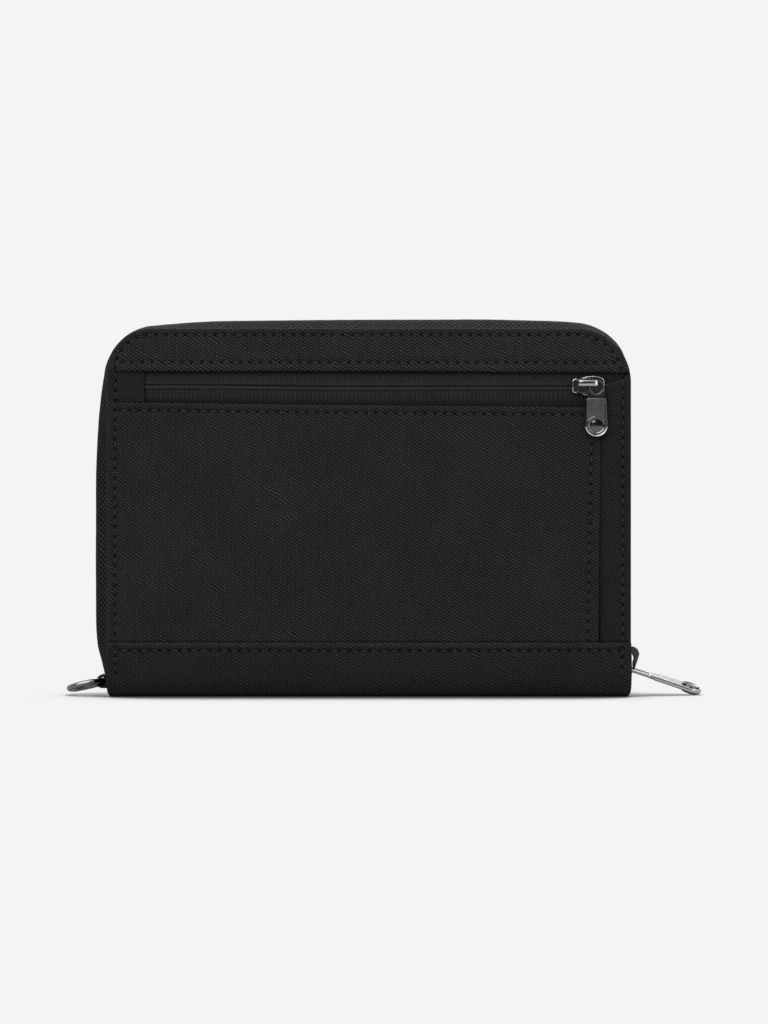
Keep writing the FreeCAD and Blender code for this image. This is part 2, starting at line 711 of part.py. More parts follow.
def build_pocket_slider():
    turn = FreeCAD.Rotation(Vector(1, 0, 0), 90)
    at = (S["pocket_slider_x"], tape_face, S["pocket_chain"], turn)
    slider_body("pocket_slider_body", *at)
    left, right, high, stock = size(-3.0), size(2.6), S["bridge_rise"], S["bridge_stock"]
    arch = [(left, 0), (left, high), (right, high), (right, 0), (right - stock, 0)]
    arch += [(right - stock, high - stock), (left + stock, high - stock), (left + stock, 0)]
    slider_bridge("pocket_slider_bridge", arch, 0.35, *at)

    spring = new_body("pocket_slider_lock_spring")
    sketch = new_sketch(spring, "front")
    low = S["slider_gap"] + S["slider_plate"] + 0.02
    draw_loop(sketch, rectangle(-1.9, -0.8, low, low + 0.7))
    pad(spring, sketch, 0.9, both_sides=True)
    place(spring, *at)

    leg = S["pocket_slider_x"] + 2.6 - S["bridge_stock"] / 2
    body = new_body("pocket_pull_tab")
    rim, inside, run = S["pull_rim"], 1.3, 2.3
    ring_low = -S["pull_rim"] / 2
    eye = new_sketch(body, "top", ring_low)
    draw_circle(eye, 0, 0, rim + inside)
    pad(body, eye, rim)
    neck = new_sketch(body, "top", ring_low)
    draw_loop(neck, rectangle(0, run + 2, -rim - inside, rim + inside))
    pad(body, neck, rim)
    discs = [(S["pull_end_radius"], 0.6, 0.6), (S["pull_end_radius"] - 0.6, 0.6, 0.8)]
    pull_blade(body, run + 1.1, S["pocket_pull_reach"], S["pull_thickness"], discs)
    hole = new_sketch(body, "top", -2)
    draw_circle(hole, 0, 0, inside)
    pocket(body, hole, 4)
    slot = new_sketch(body, "top", -2)
    draw_loop(slot, rectangle(0, run, size(-inside), size(inside)))
    pocket(body, slot, 4)
    hang = FreeCAD.Rotation(Vector(0, 0, -1), Vector(1, 0, 0), Vector(0, -1, 0), "ZXY")
    place(body, leg, panel_face - 0.35 - S["pull_thickness"] / 2, S["pocket_chain"], hang)


def build_main_slider():
    upright = FreeCAD.Rotation(Vector(0, 0, 1), Vector(0, -1, 0), Vector(1, 0, 0), "ZXY")
    at = (S["chain_right"], 0, S["main_slider_z"], upright)
    slider_body("main_slider_body", *at)
    # The strap leans out towards the head end and keeps the pull's bar low.
    arch = [(-4.35, 0), (-4.35, 0.95), (-3.3, 1.75), (-0.4, 2.7), (1.3, 3.25), (2.5, 2.95), (3.45, 1.9)]
    arch += [(3.65, 0), (2.1, 0), (2.0, 0.8), (0.2, 1.7), (-0.9, 1.3), (-3.55, 1.25), (-3.55, 0)]
    slider_bridge("main_slider_bridge", arch, 0.3, *at)

    body = new_body("main_pull_tab")
    rim, inside, run = S["pull_rim"], 1.35, 5.3
    bar = new_sketch(body, "front", -(rim + inside))
    draw_circle(bar, 0, 0, rim / 2)
    pad(body, bar, (rim + inside) * 2)
    for side in (1, -1):
        wire = new_sketch(body, "top", -rim / 2)
        draw_loop(wire, rectangle(0, run + 1, size(inside) * side, (rim + inside) * side))
        pad(body, wire, rim)
    discs = [(S["pull_end_radius"], 0.85, 0.85), (S["pull_end_radius"] - 0.75, 1.3, 1.3)]
    pull_blade(body, run, S["main_pull_reach"], S["main_pull_thickness"], discs)
    out = S["chain_right"] + S["slider_gap"] + S["slider_plate"] + S["main_pull_lift"]
    tilt = FreeCAD.Rotation(Vector(0, 1, 0), S["main_pull_droop"].value)
    place(body, out, 0, S["main_slider_z"] - S["main_pull_seat"], tilt)


# ---------------------------------------------------------------- sewing thread


def stitches_between(a, b, pitch, gap):
    """Start and end points of the visible stitches on the straight line from a to b."""
    along = b - a
    count = max(1, int(along.Length / pitch))
    step = along * (1.0 / count)
    lead = Vector(step).normalize() * (gap / 2)
    return [(a + step * k + lead, a + step * (k + 1) - lead) for k in range(count)]


def arch_points(inset, low, corner_steps):
    """Points up the left side, round the top corners and down the right side, inset from a cover's edge."""
    side, top = half_width.value - inset, S["panel_top"].value - inset
    radius = S["corner_radius"].value - inset
    points = [Vector(-side, 0, low)]
    for centre_x, first in ((-side + radius, 180.0), (side - radius, 90.0)):
        for k in range(corner_steps + 1):
            angle = math.radians(first - 90.0 * k / corner_steps)
            across, up = radius * math.cos(angle), radius * math.sin(angle)
            points.append(Vector(centre_x + across, 0, top - radius + up))
    points.append(Vector(side, 0, low))
    return points


def thread(label, runs, face, outward):
    """One seam's visible stitches, each a straight piece of thread lying on the face at this y."""
    radius = S["thread_radius"].value
    pitch, gap = S["stitch_pitch"].value, S["stitch_gap"].value
    pieces = []
    for run in runs:
        for a, b in zip(run, run[1:]):
            if (b - a).Length < pitch * 0.6:
                continue
            for p, q in stitches_between(a, b, pitch, gap):
                pieces.append(Part.makeCylinder(radius, (q - p).Length, p, q - p))
    feature = doc.addObject("Part::Feature", label)
    feature.Label = label
    feature.Shape = Part.makeCompound(pieces)
    clear = radius + 0.02
    feature.Placement = FreeCAD.Placement(Vector(0, face.value + outward * clear, 0), FreeCAD.Rotation())
    SUB_PARTS.append(feature)


def build_thread():
    inset = S["stitch_inset"].value
    side = half_width.value - inset
    band_top = S["band_height"].value
    arch = arch_points(inset, band_top + 0.6, corner_steps=9)
    edge_left, edge_right = S["pocket_edge_left"].value, S["pocket_edge_right"].value
    top_row = S["top_panel_edge"].value + 2.6
    column = S["side_panel_inner"].value - 2.8
    band_row = band_top - 2.3
    outer = S["half_depth"]

    def row(z, x0, x1):
        return [Vector(x0, 0, z), Vector(x1, 0, z)]

    def upright(x, z0, z1):
        return [Vector(x, 0, z0), Vector(x, 0, z1)]

    left_low = [arch[0], Vector(-side, 0, edge_left - 0.4)]
    right_low = [Vector(side, 0, S["side_panel_top"].value - 0.4), arch[-1]]
    over_top = [p for p in arch if p.z > S["top_panel_edge"].value + 0.2]
    thread("back_edge_thread", [left_low, over_top, right_low], panel_face, -1)
    thread("top_panel_thread", [row(top_row, -side + 3.2, side - 3.2)], panel_face, -1)
    pocket_row = [Vector(-side + 1.2, 0, edge_left - 2.3), Vector(column, 0, edge_right - 2.3)]
    pocket_runs = [pocket_row, upright(column, band_top + 1, edge_right - 3.3)]
    thread("pocket_panel_thread", pocket_runs, panel_face, -1)
    band_ends = [upright(-side, 7, band_row), upright(side, 7, band_row)]
    band_runs = [row(band_row, -side + 1.2, side - 1.2)] + band_ends
    thread("back_band_thread", band_runs, -outer, -1)
    thread("front_band_thread", band_runs, outer, 1)
    thread("front_edge_thread", [arch], outer - S["fabric"], 1)


# ---------------------------------------------------------------- build, check and write


def main():
    build_spine()
    build_strap_ring()
    build_back_cover()
    build_front_cover()
    build_pocket_slider()
    build_main_slider()
    build_thread()
    doc.recompute()
    for obj in doc.Objects:
        if "Invalid" in obj.State or "Error" in obj.State:
            raise RuntimeError(f"{obj.Label} failed: {obj.State}")
    os.makedirs("parts", exist_ok=True)
    for part in SUB_PARTS:
        shape = part.Shape
        if shape.isNull() or not shape.isValid() or not shape.Solids:
            raise RuntimeError(f"{part.Label}: the shape is not a valid solid")
        shape.exportStep(os.path.join("parts", part.Label + ".step"))
    print(len(SUB_PARTS), "sub-parts written")


main()
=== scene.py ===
"""Looks for the zip-around passport wallet: sewn cloth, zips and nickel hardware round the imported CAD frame.

Shapes are written in millimetres in the frame's own axes and turned into metres as each mesh is made.
"""

import json
import math

import bmesh
import bpy
import numpy as np
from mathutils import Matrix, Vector


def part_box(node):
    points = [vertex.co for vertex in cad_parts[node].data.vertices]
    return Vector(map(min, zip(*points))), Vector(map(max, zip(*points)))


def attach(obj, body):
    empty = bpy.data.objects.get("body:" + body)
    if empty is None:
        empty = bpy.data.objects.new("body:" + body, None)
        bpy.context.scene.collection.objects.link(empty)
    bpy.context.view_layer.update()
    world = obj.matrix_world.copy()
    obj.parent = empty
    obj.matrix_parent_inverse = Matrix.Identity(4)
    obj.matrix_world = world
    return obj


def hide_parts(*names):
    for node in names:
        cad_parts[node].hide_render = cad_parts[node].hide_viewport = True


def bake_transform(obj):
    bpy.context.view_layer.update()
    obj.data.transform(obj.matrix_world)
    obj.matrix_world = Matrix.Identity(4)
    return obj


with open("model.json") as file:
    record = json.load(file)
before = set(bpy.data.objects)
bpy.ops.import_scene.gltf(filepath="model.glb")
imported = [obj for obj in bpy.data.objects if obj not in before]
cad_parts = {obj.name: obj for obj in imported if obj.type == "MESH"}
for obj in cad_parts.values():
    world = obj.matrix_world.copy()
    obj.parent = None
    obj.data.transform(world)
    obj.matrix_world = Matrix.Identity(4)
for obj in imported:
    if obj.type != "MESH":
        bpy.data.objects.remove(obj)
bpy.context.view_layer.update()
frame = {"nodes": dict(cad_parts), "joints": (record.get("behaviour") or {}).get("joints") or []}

MM = 0.001
PI = math.pi
COVERS = ((-1, "back"), (1, "front"))  # the side of y = 0 that each cover is on


def cad_mm(node):
    """Lowest and highest corner of a CAD node, in millimetres."""
    low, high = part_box(node)
    return np.array(low) / MM, np.array(high) / MM


def joint_mm(name):
    joint = next(j for j in frame["joints"] if j["name"] == name)
    return np.array(joint["pos_m"]) / MM


PANEL_HIGH = cad_mm("front_panel")[1]
SIDE, FRONT_FACE, TOP = PANEL_HIGH
CORNER_LEFT, CORNER_RIGHT = 12.4, 15.2  # corner radii, which differ in the picture
BACK_FACE = cad_mm("pocket_front_panel")[0][1]
OUTER_FACE, BAND_TOP = cad_mm("front_spine_band")[1][1:]
TAPE_LOW, TAPE_HIGH = cad_mm("back_main_tape")
CHAIN_Z = (cad_mm("pocket_coil_upper")[0][2] + cad_mm("pocket_coil_lower")[1][2]) / 2
PITCH = 2.78  # length of a stitch
CHAIN_GAP = 0.12  # visible gap beside each half of a chain
SEAM_REACH = 1.2  # how far from a seam its shading is worked out
EDGE = 2.3  # from a sewn edge to the inside of its turned ply
PANEL_LOW = 8.0  # panels start here, under the spine band's top edge
SIDE_SEAM = 71.3  # x of the seams beside the covers' edges
COLUMN_X = cad_mm("pocket_side_panel")[0][0] - 0.1  # the pocket panel's right end
STRIP_LOW = cad_mm("pocket_top_panel")[0][2]


# ---------------------------------------------------------------- materials


class Value:
    """A socket of a node tree; arithmetic on it adds the nodes that work it out."""

    def __init__(self, nodes, socket):
        self.nodes, self.socket = nodes, socket

    def math(self, operation, *others):
        return self.nodes.math(operation, self, *others)

    def __add__(self, other):
        return self.math("ADD", other)

    def __sub__(self, other):
        return self.math("SUBTRACT", other)

    def __rsub__(self, other):
        return self.nodes.math("SUBTRACT", other, self)

    def __mul__(self, other):
        return self.math("MULTIPLY", other)

    def __truediv__(self, other):
        return self.math("DIVIDE", other)

    def exp_of_minus(self):
        return (self * -1.0).math("EXPONENT")

    def waves(self, pitch):
        """Rounded ridges, one to each pitch."""
        return (self * (PI / pitch)).math("SINE").math("ABSOLUTE")

    def remap(self, low, high, to_low, to_high):
        names = ("Value", "From Min", "From Max", "To Min", "To Max")
        return self.nodes.node("MapRange", 0, dict(zip(names, (self, low, high, to_low, to_high))))


class Nodes:
    """A thin helper over a node tree."""

    def __init__(self, tree):
        self.tree = tree

    def add(self, kind, inputs=None, **settings):
        made = self.tree.nodes.new("ShaderNode" + kind)
        for key, value in settings.items():
            setattr(made, key, value)
        for key, value in (inputs or {}).items():
            self.put(made.inputs[key], value)
        return made

    def node(self, kind, output, inputs=None, **settings):
        """One output of a new node."""
        return Value(self, self.add(kind, inputs, **settings).outputs[output])

    def put(self, socket, value):
        if isinstance(value, Value):
            self.tree.links.new(value.socket, socket)
        else:
            socket.default_value = (*value, 1.0) if socket.type == "RGBA" else value

    def math(self, operation, *values):
        return self.node("Math", 0, dict(enumerate(values)), operation=operation)

    def parts(self, vector):
        made = self.add("SeparateXYZ", {"Vector": vector})
        return [Value(self, output) for output in made.outputs]

    def attribute(self, name):
        """A number that the mesh carries at each point."""
        return self.node("Attribute", "Fac", attribute_name=name)

    def mix(self, factor, a, b):
        return self.node("MixRGB", 0, {"Fac": factor, "Color1": a, "Color2": b})

    def scaled(self, colour, factor):
        return self.node("VectorMath", 0, {0: colour, "Scale": factor}, operation="SCALE")

    def millimetres(self, source="UV"):
        """Cloth coordinates in millimetres: along the sheet, across the sheet."""
        return self.scaled(self.node("TexCoord", source), 100.0 if source == "UV" else 1000.0)

    def noise(self, where, scale, detail=2.0, stretch=(1, 1, 1), roughness=0.5):
        mapped = self.node("Mapping", 0, {"Vector": where, "Scale": stretch})
        settings = {"Vector": mapped, "Scale": scale, "Detail": detail, "Roughness": roughness}
        return self.node("TexNoise", "Fac", settings)

    def bump(self, height, distance_mm, strength=1.0):
        inputs = {"Height": height, "Distance": distance_mm * MM, "Strength": strength}
        return self.node("Bump", 0, inputs)


class Shader(Nodes):
    """The node tree of a new material."""

    def __init__(self, name):
        self.material = bpy.data.materials.new(name)
        self.material.use_nodes = True
        self.material.diffuse_color = (0.1, 0.1, 0.1, 1)
        super().__init__(self.material.node_tree)

    def finish(self, **inputs):
        for key, value in inputs.items():
            self.put(self.tree.nodes["Principled BSDF"].inputs[key.replace("_", " ")], value)
        return self.material


def seam_pits(s):
    """Painted shade in the needle holes and in the ditch along the nearest seam, from the seam attributes."""
    run, near = s.attribute("seam_run"), s.attribute("seam_near")
    away = (1.0 - near) * SEAM_REACH
    along = ((run + 0.5).math("FRACT") - 0.5) * (PITCH / 0.52)
    across, beside = away / 0.34, away / 0.55
    hole = (along * along + across * across).exp_of_minus()
    return hole * near.math("GREATER_THAN", 0.02), (beside * beside).exp_of_minus() * near


def woven(name, colour, pitch=(0.75, 0.45), depth=0.12, contrast=1.0, sheen=0.05, roughness=0.85,
          specular=0.1):
    """Basket weave: painted highlights on the warp floats between painted shade on the darker weft, leaning one way or
    the other over the cloth.
    """
    s = Shader(name)
    at = s.millimetres()
    x, y, _ = s.parts(at)
    wander = (s.noise(at, 0.3, 1.0) - 0.5) * 0.9
    across, along = (x + wander) * (PI / pitch[0]), (y + wander) * (PI / pitch[1])
    lean = s.noise(at, 0.045, 1.0).remap(0.38, 0.62, 0.5, 0.76)
    cell = (across + along).math("COSINE") * lean + (across - along).math("COSINE") * (1.0 - lean)
    warp = cell.math("MAXIMUM", 0.0).math("POWER", 0.8)
    weft = (cell * -1.0).math("MAXIMUM", 0.0).math("POWER", 0.8)
    slub = s.noise(at, 1.3, 2.0, stretch=(1.0, 0.15, 1.0))
    weft_slub = s.noise(at, 1.1, 2.0, stretch=(0.15, 1.2, 1.0))
    mottle, blotch = s.noise(at, 0.07, 3.0), s.noise(at, 0.5, 2.0)
    # Painted highlight on the warp floats and painted shade on the weft and in the valleys; the mottle and blotches
    # are random tone.
    shade = warp * slub.remap(0.2, 0.8, 0.6, 1.9) * (1.25 * contrast)
    shade = shade + weft * weft_slub * (0.45 * contrast) + (1.0 - 0.58 * contrast)
    shade = shade * mottle.remap(0.3, 0.7, 0.95, 1.05) * blotch.remap(0.25, 0.75, 0.88, 1.12)
    pit, ditch = seam_pits(s)
    # Painted shade: darker in the needle holes, along the seam ditches and by the shadow attribute, with the specular
    # and sheen dimmed the same way.
    light = (1.0 - pit * 0.72) * (1.0 - ditch * 0.18) * (1.0 - s.attribute("shadow"))
    lint = s.noise(at, 2.6, 0.0, stretch=(1.0, 1.4, 1.0)).math("GREATER_THAN", 0.83)
    return s.finish(
        Base_Color=s.mix(lint * 0.2, s.scaled(colour, shade * light), (0.07, 0.068, 0.07)),
        Roughness=slub.remap(0.3, 0.7, roughness - 0.08, roughness + 0.08),
        Specular_IOR_Level=light * specular,
        Sheen_Weight=light * sheen,
        Sheen_Roughness=0.5,
        Normal=s.bump(warp + weft * 0.45 - pit * 3.0, depth),
    )


def ribbed(name, colour, rib, pick, depth=0.1):
    """Woven tape: raised ribs across its width, with fine picks along them, given painted highlights with painted
    shade between.
    """
    s = Shader(name)
    at = s.millimetres()
    x, y, _ = s.parts(at)
    ribs = x.waves(rib)
    picks = (y + (x / rib).math("FLOOR") * (pick / 2)).waves(pick)
    fibre = s.noise(at, 2.2, 2.0, stretch=(1.0, 0.2, 1.0))
    mottle = s.noise(at, 0.08, 2.0)
    # Painted highlight on the ribs and picks and painted shade between them, with the shadow attribute's painted
    # shade; the fibre and mottle are random tone.
    shade = (ribs * 0.75 + picks * 0.4 + 0.22) * fibre.remap(0.25, 0.75, 0.68, 1.36)
    shade = shade * mottle.remap(0.3, 0.7, 0.93, 1.07) * (1.0 - s.attribute("shadow"))
    return s.finish(
        Base_Color=s.scaled(colour, shade),
        Roughness=fibre.remap(0.3, 0.7, 0.7, 0.88),
        Specular_IOR_Level=0.12,
        Sheen_Weight=0.08,
        Normal=s.bump(ribs + picks * 0.35, depth),
    )


def twisted_thread(name, colour):
    s = Shader(name)
    at = s.millimetres("Object")
    # Painted highlights and shade in diagonal bands along the thread's twist, which also drive the bump.
    wave = s.node("TexWave", 1, {"Vector": at, "Scale": 1.1, "Distortion": 1.5, "Detail": 1.0},
                  bands_direction="DIAGONAL")
    return s.finish(
        Base_Color=s.scaled(colour, wave.remap(0, 1, 0.6, 1.35)),
        Roughness=s.noise(at, 1.5).remap(0.3, 0.7, 0.45, 0.65),
        Specular_IOR_Level=0.3,
        Sheen_Weight=0.1,
        Normal=s.bump(wave, 0.06),
    )


def nickel(name, tint=(0.72, 0.71, 0.69), roughness=0.14, brushed=False):
    """Plated metal: fine scratches, faint smudges, and lines along the part when brushed."""
    s = Shader(name)
    at = s.millimetres("UV" if brushed else "Object")
    smudge = s.noise(at, 0.35, 3.0)
    scratch = s.noise(at, 1.6, 3.0, stretch=(9.0, 0.35, 9.0) if brushed else (2.0, 2.0, 2.0), roughness=0.7)
    rough = smudge.remap(0.3, 0.7, roughness - 0.03, roughness + 0.05)
    return s.finish(
        Base_Color=s.scaled(tint, scratch.remap(0.3, 0.7, 0.88 if brushed else 0.976, 1.04)),
        Metallic=1.0,
        Roughness=rough + scratch.remap(0.3, 0.7, -0.02, 0.04),
        Normal=s.bump(scratch, 0.003 if brushed else 0.002, 0.6),
    )


def moulded(name, colour, roughness, grain=0.03):
    s = Shader(name)
    at = s.millimetres("Object")
    fine, cloud = s.noise(at, 3.0, 3.0), s.noise(at, 0.2, 2.0)
    return s.finish(
        Base_Color=s.scaled(colour, cloud.remap(0.3, 0.7, 0.88, 1.12)),
        Roughness=fine.remap(0.3, 0.7, roughness - 0.07, roughness + 0.1),
        Specular_IOR_Level=0.35,
        Normal=s.bump(fine, grain),
    )


CLOTH = woven("outer_weave", (0.0222, 0.0207, 0.0215), contrast=1.12)
# The strip's, the band's and the side panel's cloth are the outer cloth in lighter and darker copies: painted light
# from above, lighter on the top strip, darker on the spine band and the side panel.
LIT_STRIP_CLOTH = woven("lit_top_strip_weave", (0.0258, 0.0240, 0.0248), contrast=1.25)
SHADED_BAND_CLOTH = woven("spine_band_weave", (0.0190, 0.0175, 0.0181), contrast=1.05)
SHADED_COLUMN_CLOTH = woven("shaded_side_panel_weave", (0.0172, 0.0164, 0.0164), contrast=0.9)
LINING = woven("lining_weave", (0.026, 0.025, 0.027), pitch=(0.3, 0.3), depth=0.04, contrast=0.5,
               sheen=0.25, roughness=0.62, specular=0.3)
POCKET_CLOTH = woven("card_pocket_weave", (0.022, 0.021, 0.023), pitch=(0.42, 0.42), depth=0.06,
                     contrast=0.7, sheen=0.2, roughness=0.7, specular=0.2)
ZIP_TAPE = ribbed("zip_tape_ribs", (0.0225, 0.0225, 0.0225), rib=0.62, pick=0.5)
GUSSET_TAPE = woven("gusset_weave", (0.0210, 0.0208, 0.0208), pitch=(0.75, 0.6), depth=0.16, contrast=1.35)
WEBBING = ribbed("webbing_ribs", (0.017, 0.016, 0.017), rib=0.55, pick=0.9, depth=0.14)
BINDING = ribbed("grosgrain_binding", (0.018, 0.0175, 0.018), rib=0.45, pick=0.6, depth=0.07)
THREAD = twisted_thread("polyester_thread", (0.0215, 0.0203, 0.021))
INNER_THREAD = twisted_thread("lining_thread", (0.06, 0.059, 0.062))
COIL = moulded("nylon_coil", (0.02, 0.02, 0.02), roughness=0.35)
BOARD = moulded("board_sheet", (0.03, 0.03, 0.031), roughness=0.6, grain=0.05)
FOAM = moulded("grey_foam", (0.16, 0.16, 0.165), roughness=0.85, grain=0.25)
POLISHED = nickel("polished_nickel", roughness=0.12)
BRUSHED = nickel("brushed_nickel", (0.42, 0.416, 0.41), 0.3, brushed=True)
# The darker copies below are the same nickel with painted dark reflections: the pocket pull's blade; the pocket
# slider, the main slider's arch, the pocket pull's rim and neck and the main pull's boss; the pocket pull's boss; the
# strap ring.
SHADED_BRUSHED = nickel("shaded_brushed_nickel", (0.30, 0.297, 0.295), 0.235, brushed=True)
DARK_NICKEL = nickel("shaded_nickel", (0.115, 0.113, 0.111), 0.2)
SHADED_BOSS_NICKEL = nickel("shaded_boss_nickel", (0.2, 0.198, 0.195), 0.13)
SHADED_RING_NICKEL = nickel("shaded_ring_nickel", (0.30, 0.297, 0.29), 0.13)
# Near-black metal for the main chain's stop caps.
BLACK_METAL = nickel("near_black_metal", (0.05, 0.05, 0.052), 0.4)


# ---------------------------------------------------------------- points and lines


def stack(*values):
    """Points from their coordinates; single numbers are spread to fit."""
    return np.stack(np.broadcast_arrays(*values), -1).astype(float)


def grid(a, b):
    return np.meshgrid(a, b, indexing="ij")


def unit(vectors):
    return vectors / np.linalg.norm(vectors, axis=-1, keepdims=True)


def bell(t):
    """A smooth bump: 1 at t = 0, a third of that at t = 1."""
    return np.exp(-np.square(t))


def smooth(t):
    t = np.clip(t, 0, 1)
    return t * t * (3 - 2 * t)


def power(t, exponent):
    """t to a power, with its sign kept."""
    return np.sign(t) * np.abs(t) ** exponent


def turns(count):
    """Even angles once round a circle."""
    return np.arange(count) * 2 * PI / count


def arc(x, y, radius, start, end, count):
    a = np.linspace(start, end, count)
    return stack(x + radius * np.cos(a), y + radius * np.sin(a))


def circle(radius, sides):
    a = turns(sides)
    return stack(radius * np.cos(a), radius * np.sin(a))


def at_level(flat, level=0.0):
    """Flat points as points in space."""
    return stack(*flat.T, level)


def run_along(points):
    """Arc length at each point of a line."""
    return np.concatenate([[0], np.cumsum(np.linalg.norm(np.diff(points, axis=0), axis=1))])


def resample(points, step):
    """Even steps along a line; returns points and their arc lengths."""
    points = np.asarray(points, float)
    lengths = run_along(points)
    at = np.linspace(0, lengths[-1], max(2, int(round(lengths[-1] / step)) + 1))
    return np.stack([np.interp(at, lengths, column) for column in points.T], -1), at


def normals(line):
    """Unit normals to the left of a flat line."""
    along = unit(np.gradient(line, axis=0))
    return stack(-along[:, 1], along[:, 0])


def drawn_in(line, by):
    """A flat line pulled in towards its middle."""
    return line - unit(line - line.mean(0)) * by


def ripple(x, z, seed, wavelength):
    """Smooth fixed waviness in -1..1 from a few crossed sine waves."""
    rng = np.random.default_rng(seed)
    total, count = 0, 7
    for _ in range(count):
        angle, phase = rng.uniform(0, 2 * PI, 2)
        k = 2 * PI / (wavelength * rng.uniform(0.7, 1.6))
        total = total + np.sin(k * (x * math.cos(angle) + z * math.sin(angle)) + phase)
    return total / count


def lines_between(low, high, coarse, fine, focus=(), reach=1.2):
    """Grid lines from low to high: fine near the focus lines, finer still at both ends."""
    edge, border, border_step, shortest = 0.9, 0.5, 0.13, 0.04
    at, out = low, [low]
    while at < high:
        near = min([abs(at - f) - reach for f in focus] + [at - low - edge, high - at - edge, 99])
        if at - low < border or high - at < border:
            at += border_step
        else:
            at += fine if near < 0 else min(coarse, fine + near * 0.6)
        out.append(min(at, high))
    if out[-1] - out[-2] < shortest:
        out.pop(-2)
    return np.array(out)


# ---------------------------------------------------------------- mesh building
# A part is a tuple of points, quads and a list of other faces.


def new_piece(name, part, material, body, slot, *nodes, uv=None, smooth_angle=40.0, marks=None):
    """A mesh object from a part in millimetres, which stands for the CAD nodes.
    """
    verts, quads, ngons = part
    verts = np.asarray(verts, float).reshape(-1, 3)
    quads = np.asarray(quads, np.int64).reshape(-1, 4)
    loops = np.concatenate([quads.ravel(), *(np.asarray(n, np.int64) for n in ngons)])
    totals = np.concatenate([np.full(len(quads), 4), [len(n) for n in ngons]]).astype(np.int32)
    mesh = bpy.data.meshes.new(name)
    mesh.vertices.add(len(verts))
    mesh.vertices.foreach_set("co", (verts * MM).astype(np.float32).ravel())
    mesh.loops.add(len(loops))
    mesh.loops.foreach_set("vertex_index", loops.astype(np.int32))
    mesh.polygons.add(len(totals))
    mesh.polygons.foreach_set("loop_start", (np.cumsum(totals) - totals).astype(np.int32))
    mesh.update(calc_edges=True)
    mesh.validate()
    if uv is not None:
        at_loops = np.asarray(uv, float).reshape(-1, 2)[loops] / 100
        mesh.uv_layers.new(name="cloth").data.foreach_set("uv", at_loops.astype(np.float32).ravel())
    tool = bmesh.new()
    tool.from_mesh(mesh)
    bmesh.ops.recalc_face_normals(tool, faces=tool.faces)
    tool.to_mesh(mesh)
    tool.free()
    for key, values in (marks or {}).items():
        padded = np.zeros(len(verts), np.float32)
        padded[: values.size] = values.ravel()
        mesh.attributes.new(key, "FLOAT", "POINT").data.foreach_set("value", padded)
    mesh.polygons.foreach_set("use_smooth", np.ones(len(mesh.polygons), bool))
    mesh.set_sharp_from_angle(angle=math.radians(smooth_angle))
    mesh.materials.append(material)
    piece = bpy.data.objects.new(name, mesh)
    bpy.context.scene.collection.objects.link(piece)
    if isinstance(body, str):
        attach(piece, body)
    else:
        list(body)
        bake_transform(piece)
    if nodes:
        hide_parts(*nodes)


def metal(name, part, material, body, *nodes, smooth_angle=50.0):
    new_piece(name, part, material, body, "nickel", *nodes, smooth_angle=smooth_angle)


def quads_over(k):
    """Quads over a grid of point numbers."""
    return np.stack([k[:-1, :-1], k[1:, :-1], k[1:, 1:], k[:-1, 1:]], -1).reshape(-1, 4)


def numbered(rows, columns, start=0):
    return np.arange(rows * columns).reshape(rows, columns) + start


def rim_loop(rows, columns):
    k = numbered(rows, columns)
    return np.concatenate([k[0, :-1], k[:-1, -1], k[-1, :0:-1], k[:0:-1, 0]])


def sheet(name, front, back, material, *place, uv=None, marks=None):
    """A sheet with a modelled front, closed by a second modelled face, or by a flat one where back is a y."""
    rows, columns = front.shape[:2]
    loop = rim_loop(rows, columns)
    verts, count = front.reshape(-1, 3), rows * columns
    flat = (front[..., [0, 2]] if uv is None else uv).reshape(-1, 2)
    quads, ngons = [quads_over(numbered(rows, columns))], []
    if np.ndim(back):
        under, under_uv, ring = back.reshape(-1, 3), flat, loop + count
        quads.append(quads_over(numbered(rows, columns, count)))
    else:
        under, under_uv, ring = verts[loop].copy(), flat[loop], count + np.arange(len(loop))
        under[:, 1] = back
        ngons.append(ring)
    quads.append(np.stack([loop, np.roll(loop, -1), np.roll(ring, -1), ring], -1))
    new_piece(name, (np.vstack([verts, under]), np.vstack(quads), ngons), material, *place,
              uv=np.vstack([flat, under_uv]), marks=marks)


def tube(rings, closed=False):
    """The part whose skin runs through rings of points (count, size, 3); flat ends unless closed."""
    count, size = rings.shape[:2]
    k = numbered(count, size)
    caps = [] if closed else [k[0].tolist(), k[-1].tolist()]
    if closed:
        k = np.vstack([k, k[:1]])
    return rings.reshape(-1, 3), quads_over(np.hstack([k, k[:, :1]])), caps


def frames_along(points, up):
    """Unit vectors square to a path at each of its points: towards up, and sideways."""
    tangent = unit(np.gradient(points, axis=0))
    side = unit(np.cross(tangent, np.broadcast_to(np.asarray(up, float), tangent.shape)))
    return np.cross(side, tangent), side


def swept(points, section, up=(0, 0, 1), closed=False):
    """A section, (size, 2) or one for each point: towards up, sideways; swept along a path."""
    if closed:
        wrapped = np.vstack([points[-1:], points, points[:1]])
        over, side = (v[1:-1] for v in frames_along(wrapped, up))
    else:
        over, side = frames_along(points, up)
    return tube(points[:, None] + section[..., :1] * over[:, None] + section[..., 1:] * side[:, None], closed)


def revolved(profile):
    """A closed solid of revolution round the local z axis, from (radius, z) points."""
    r, z = np.asarray(profile, float).T[:, :, None]
    a = turns(40)
    return tube(stack(r * np.cos(a), r * np.sin(a), z))


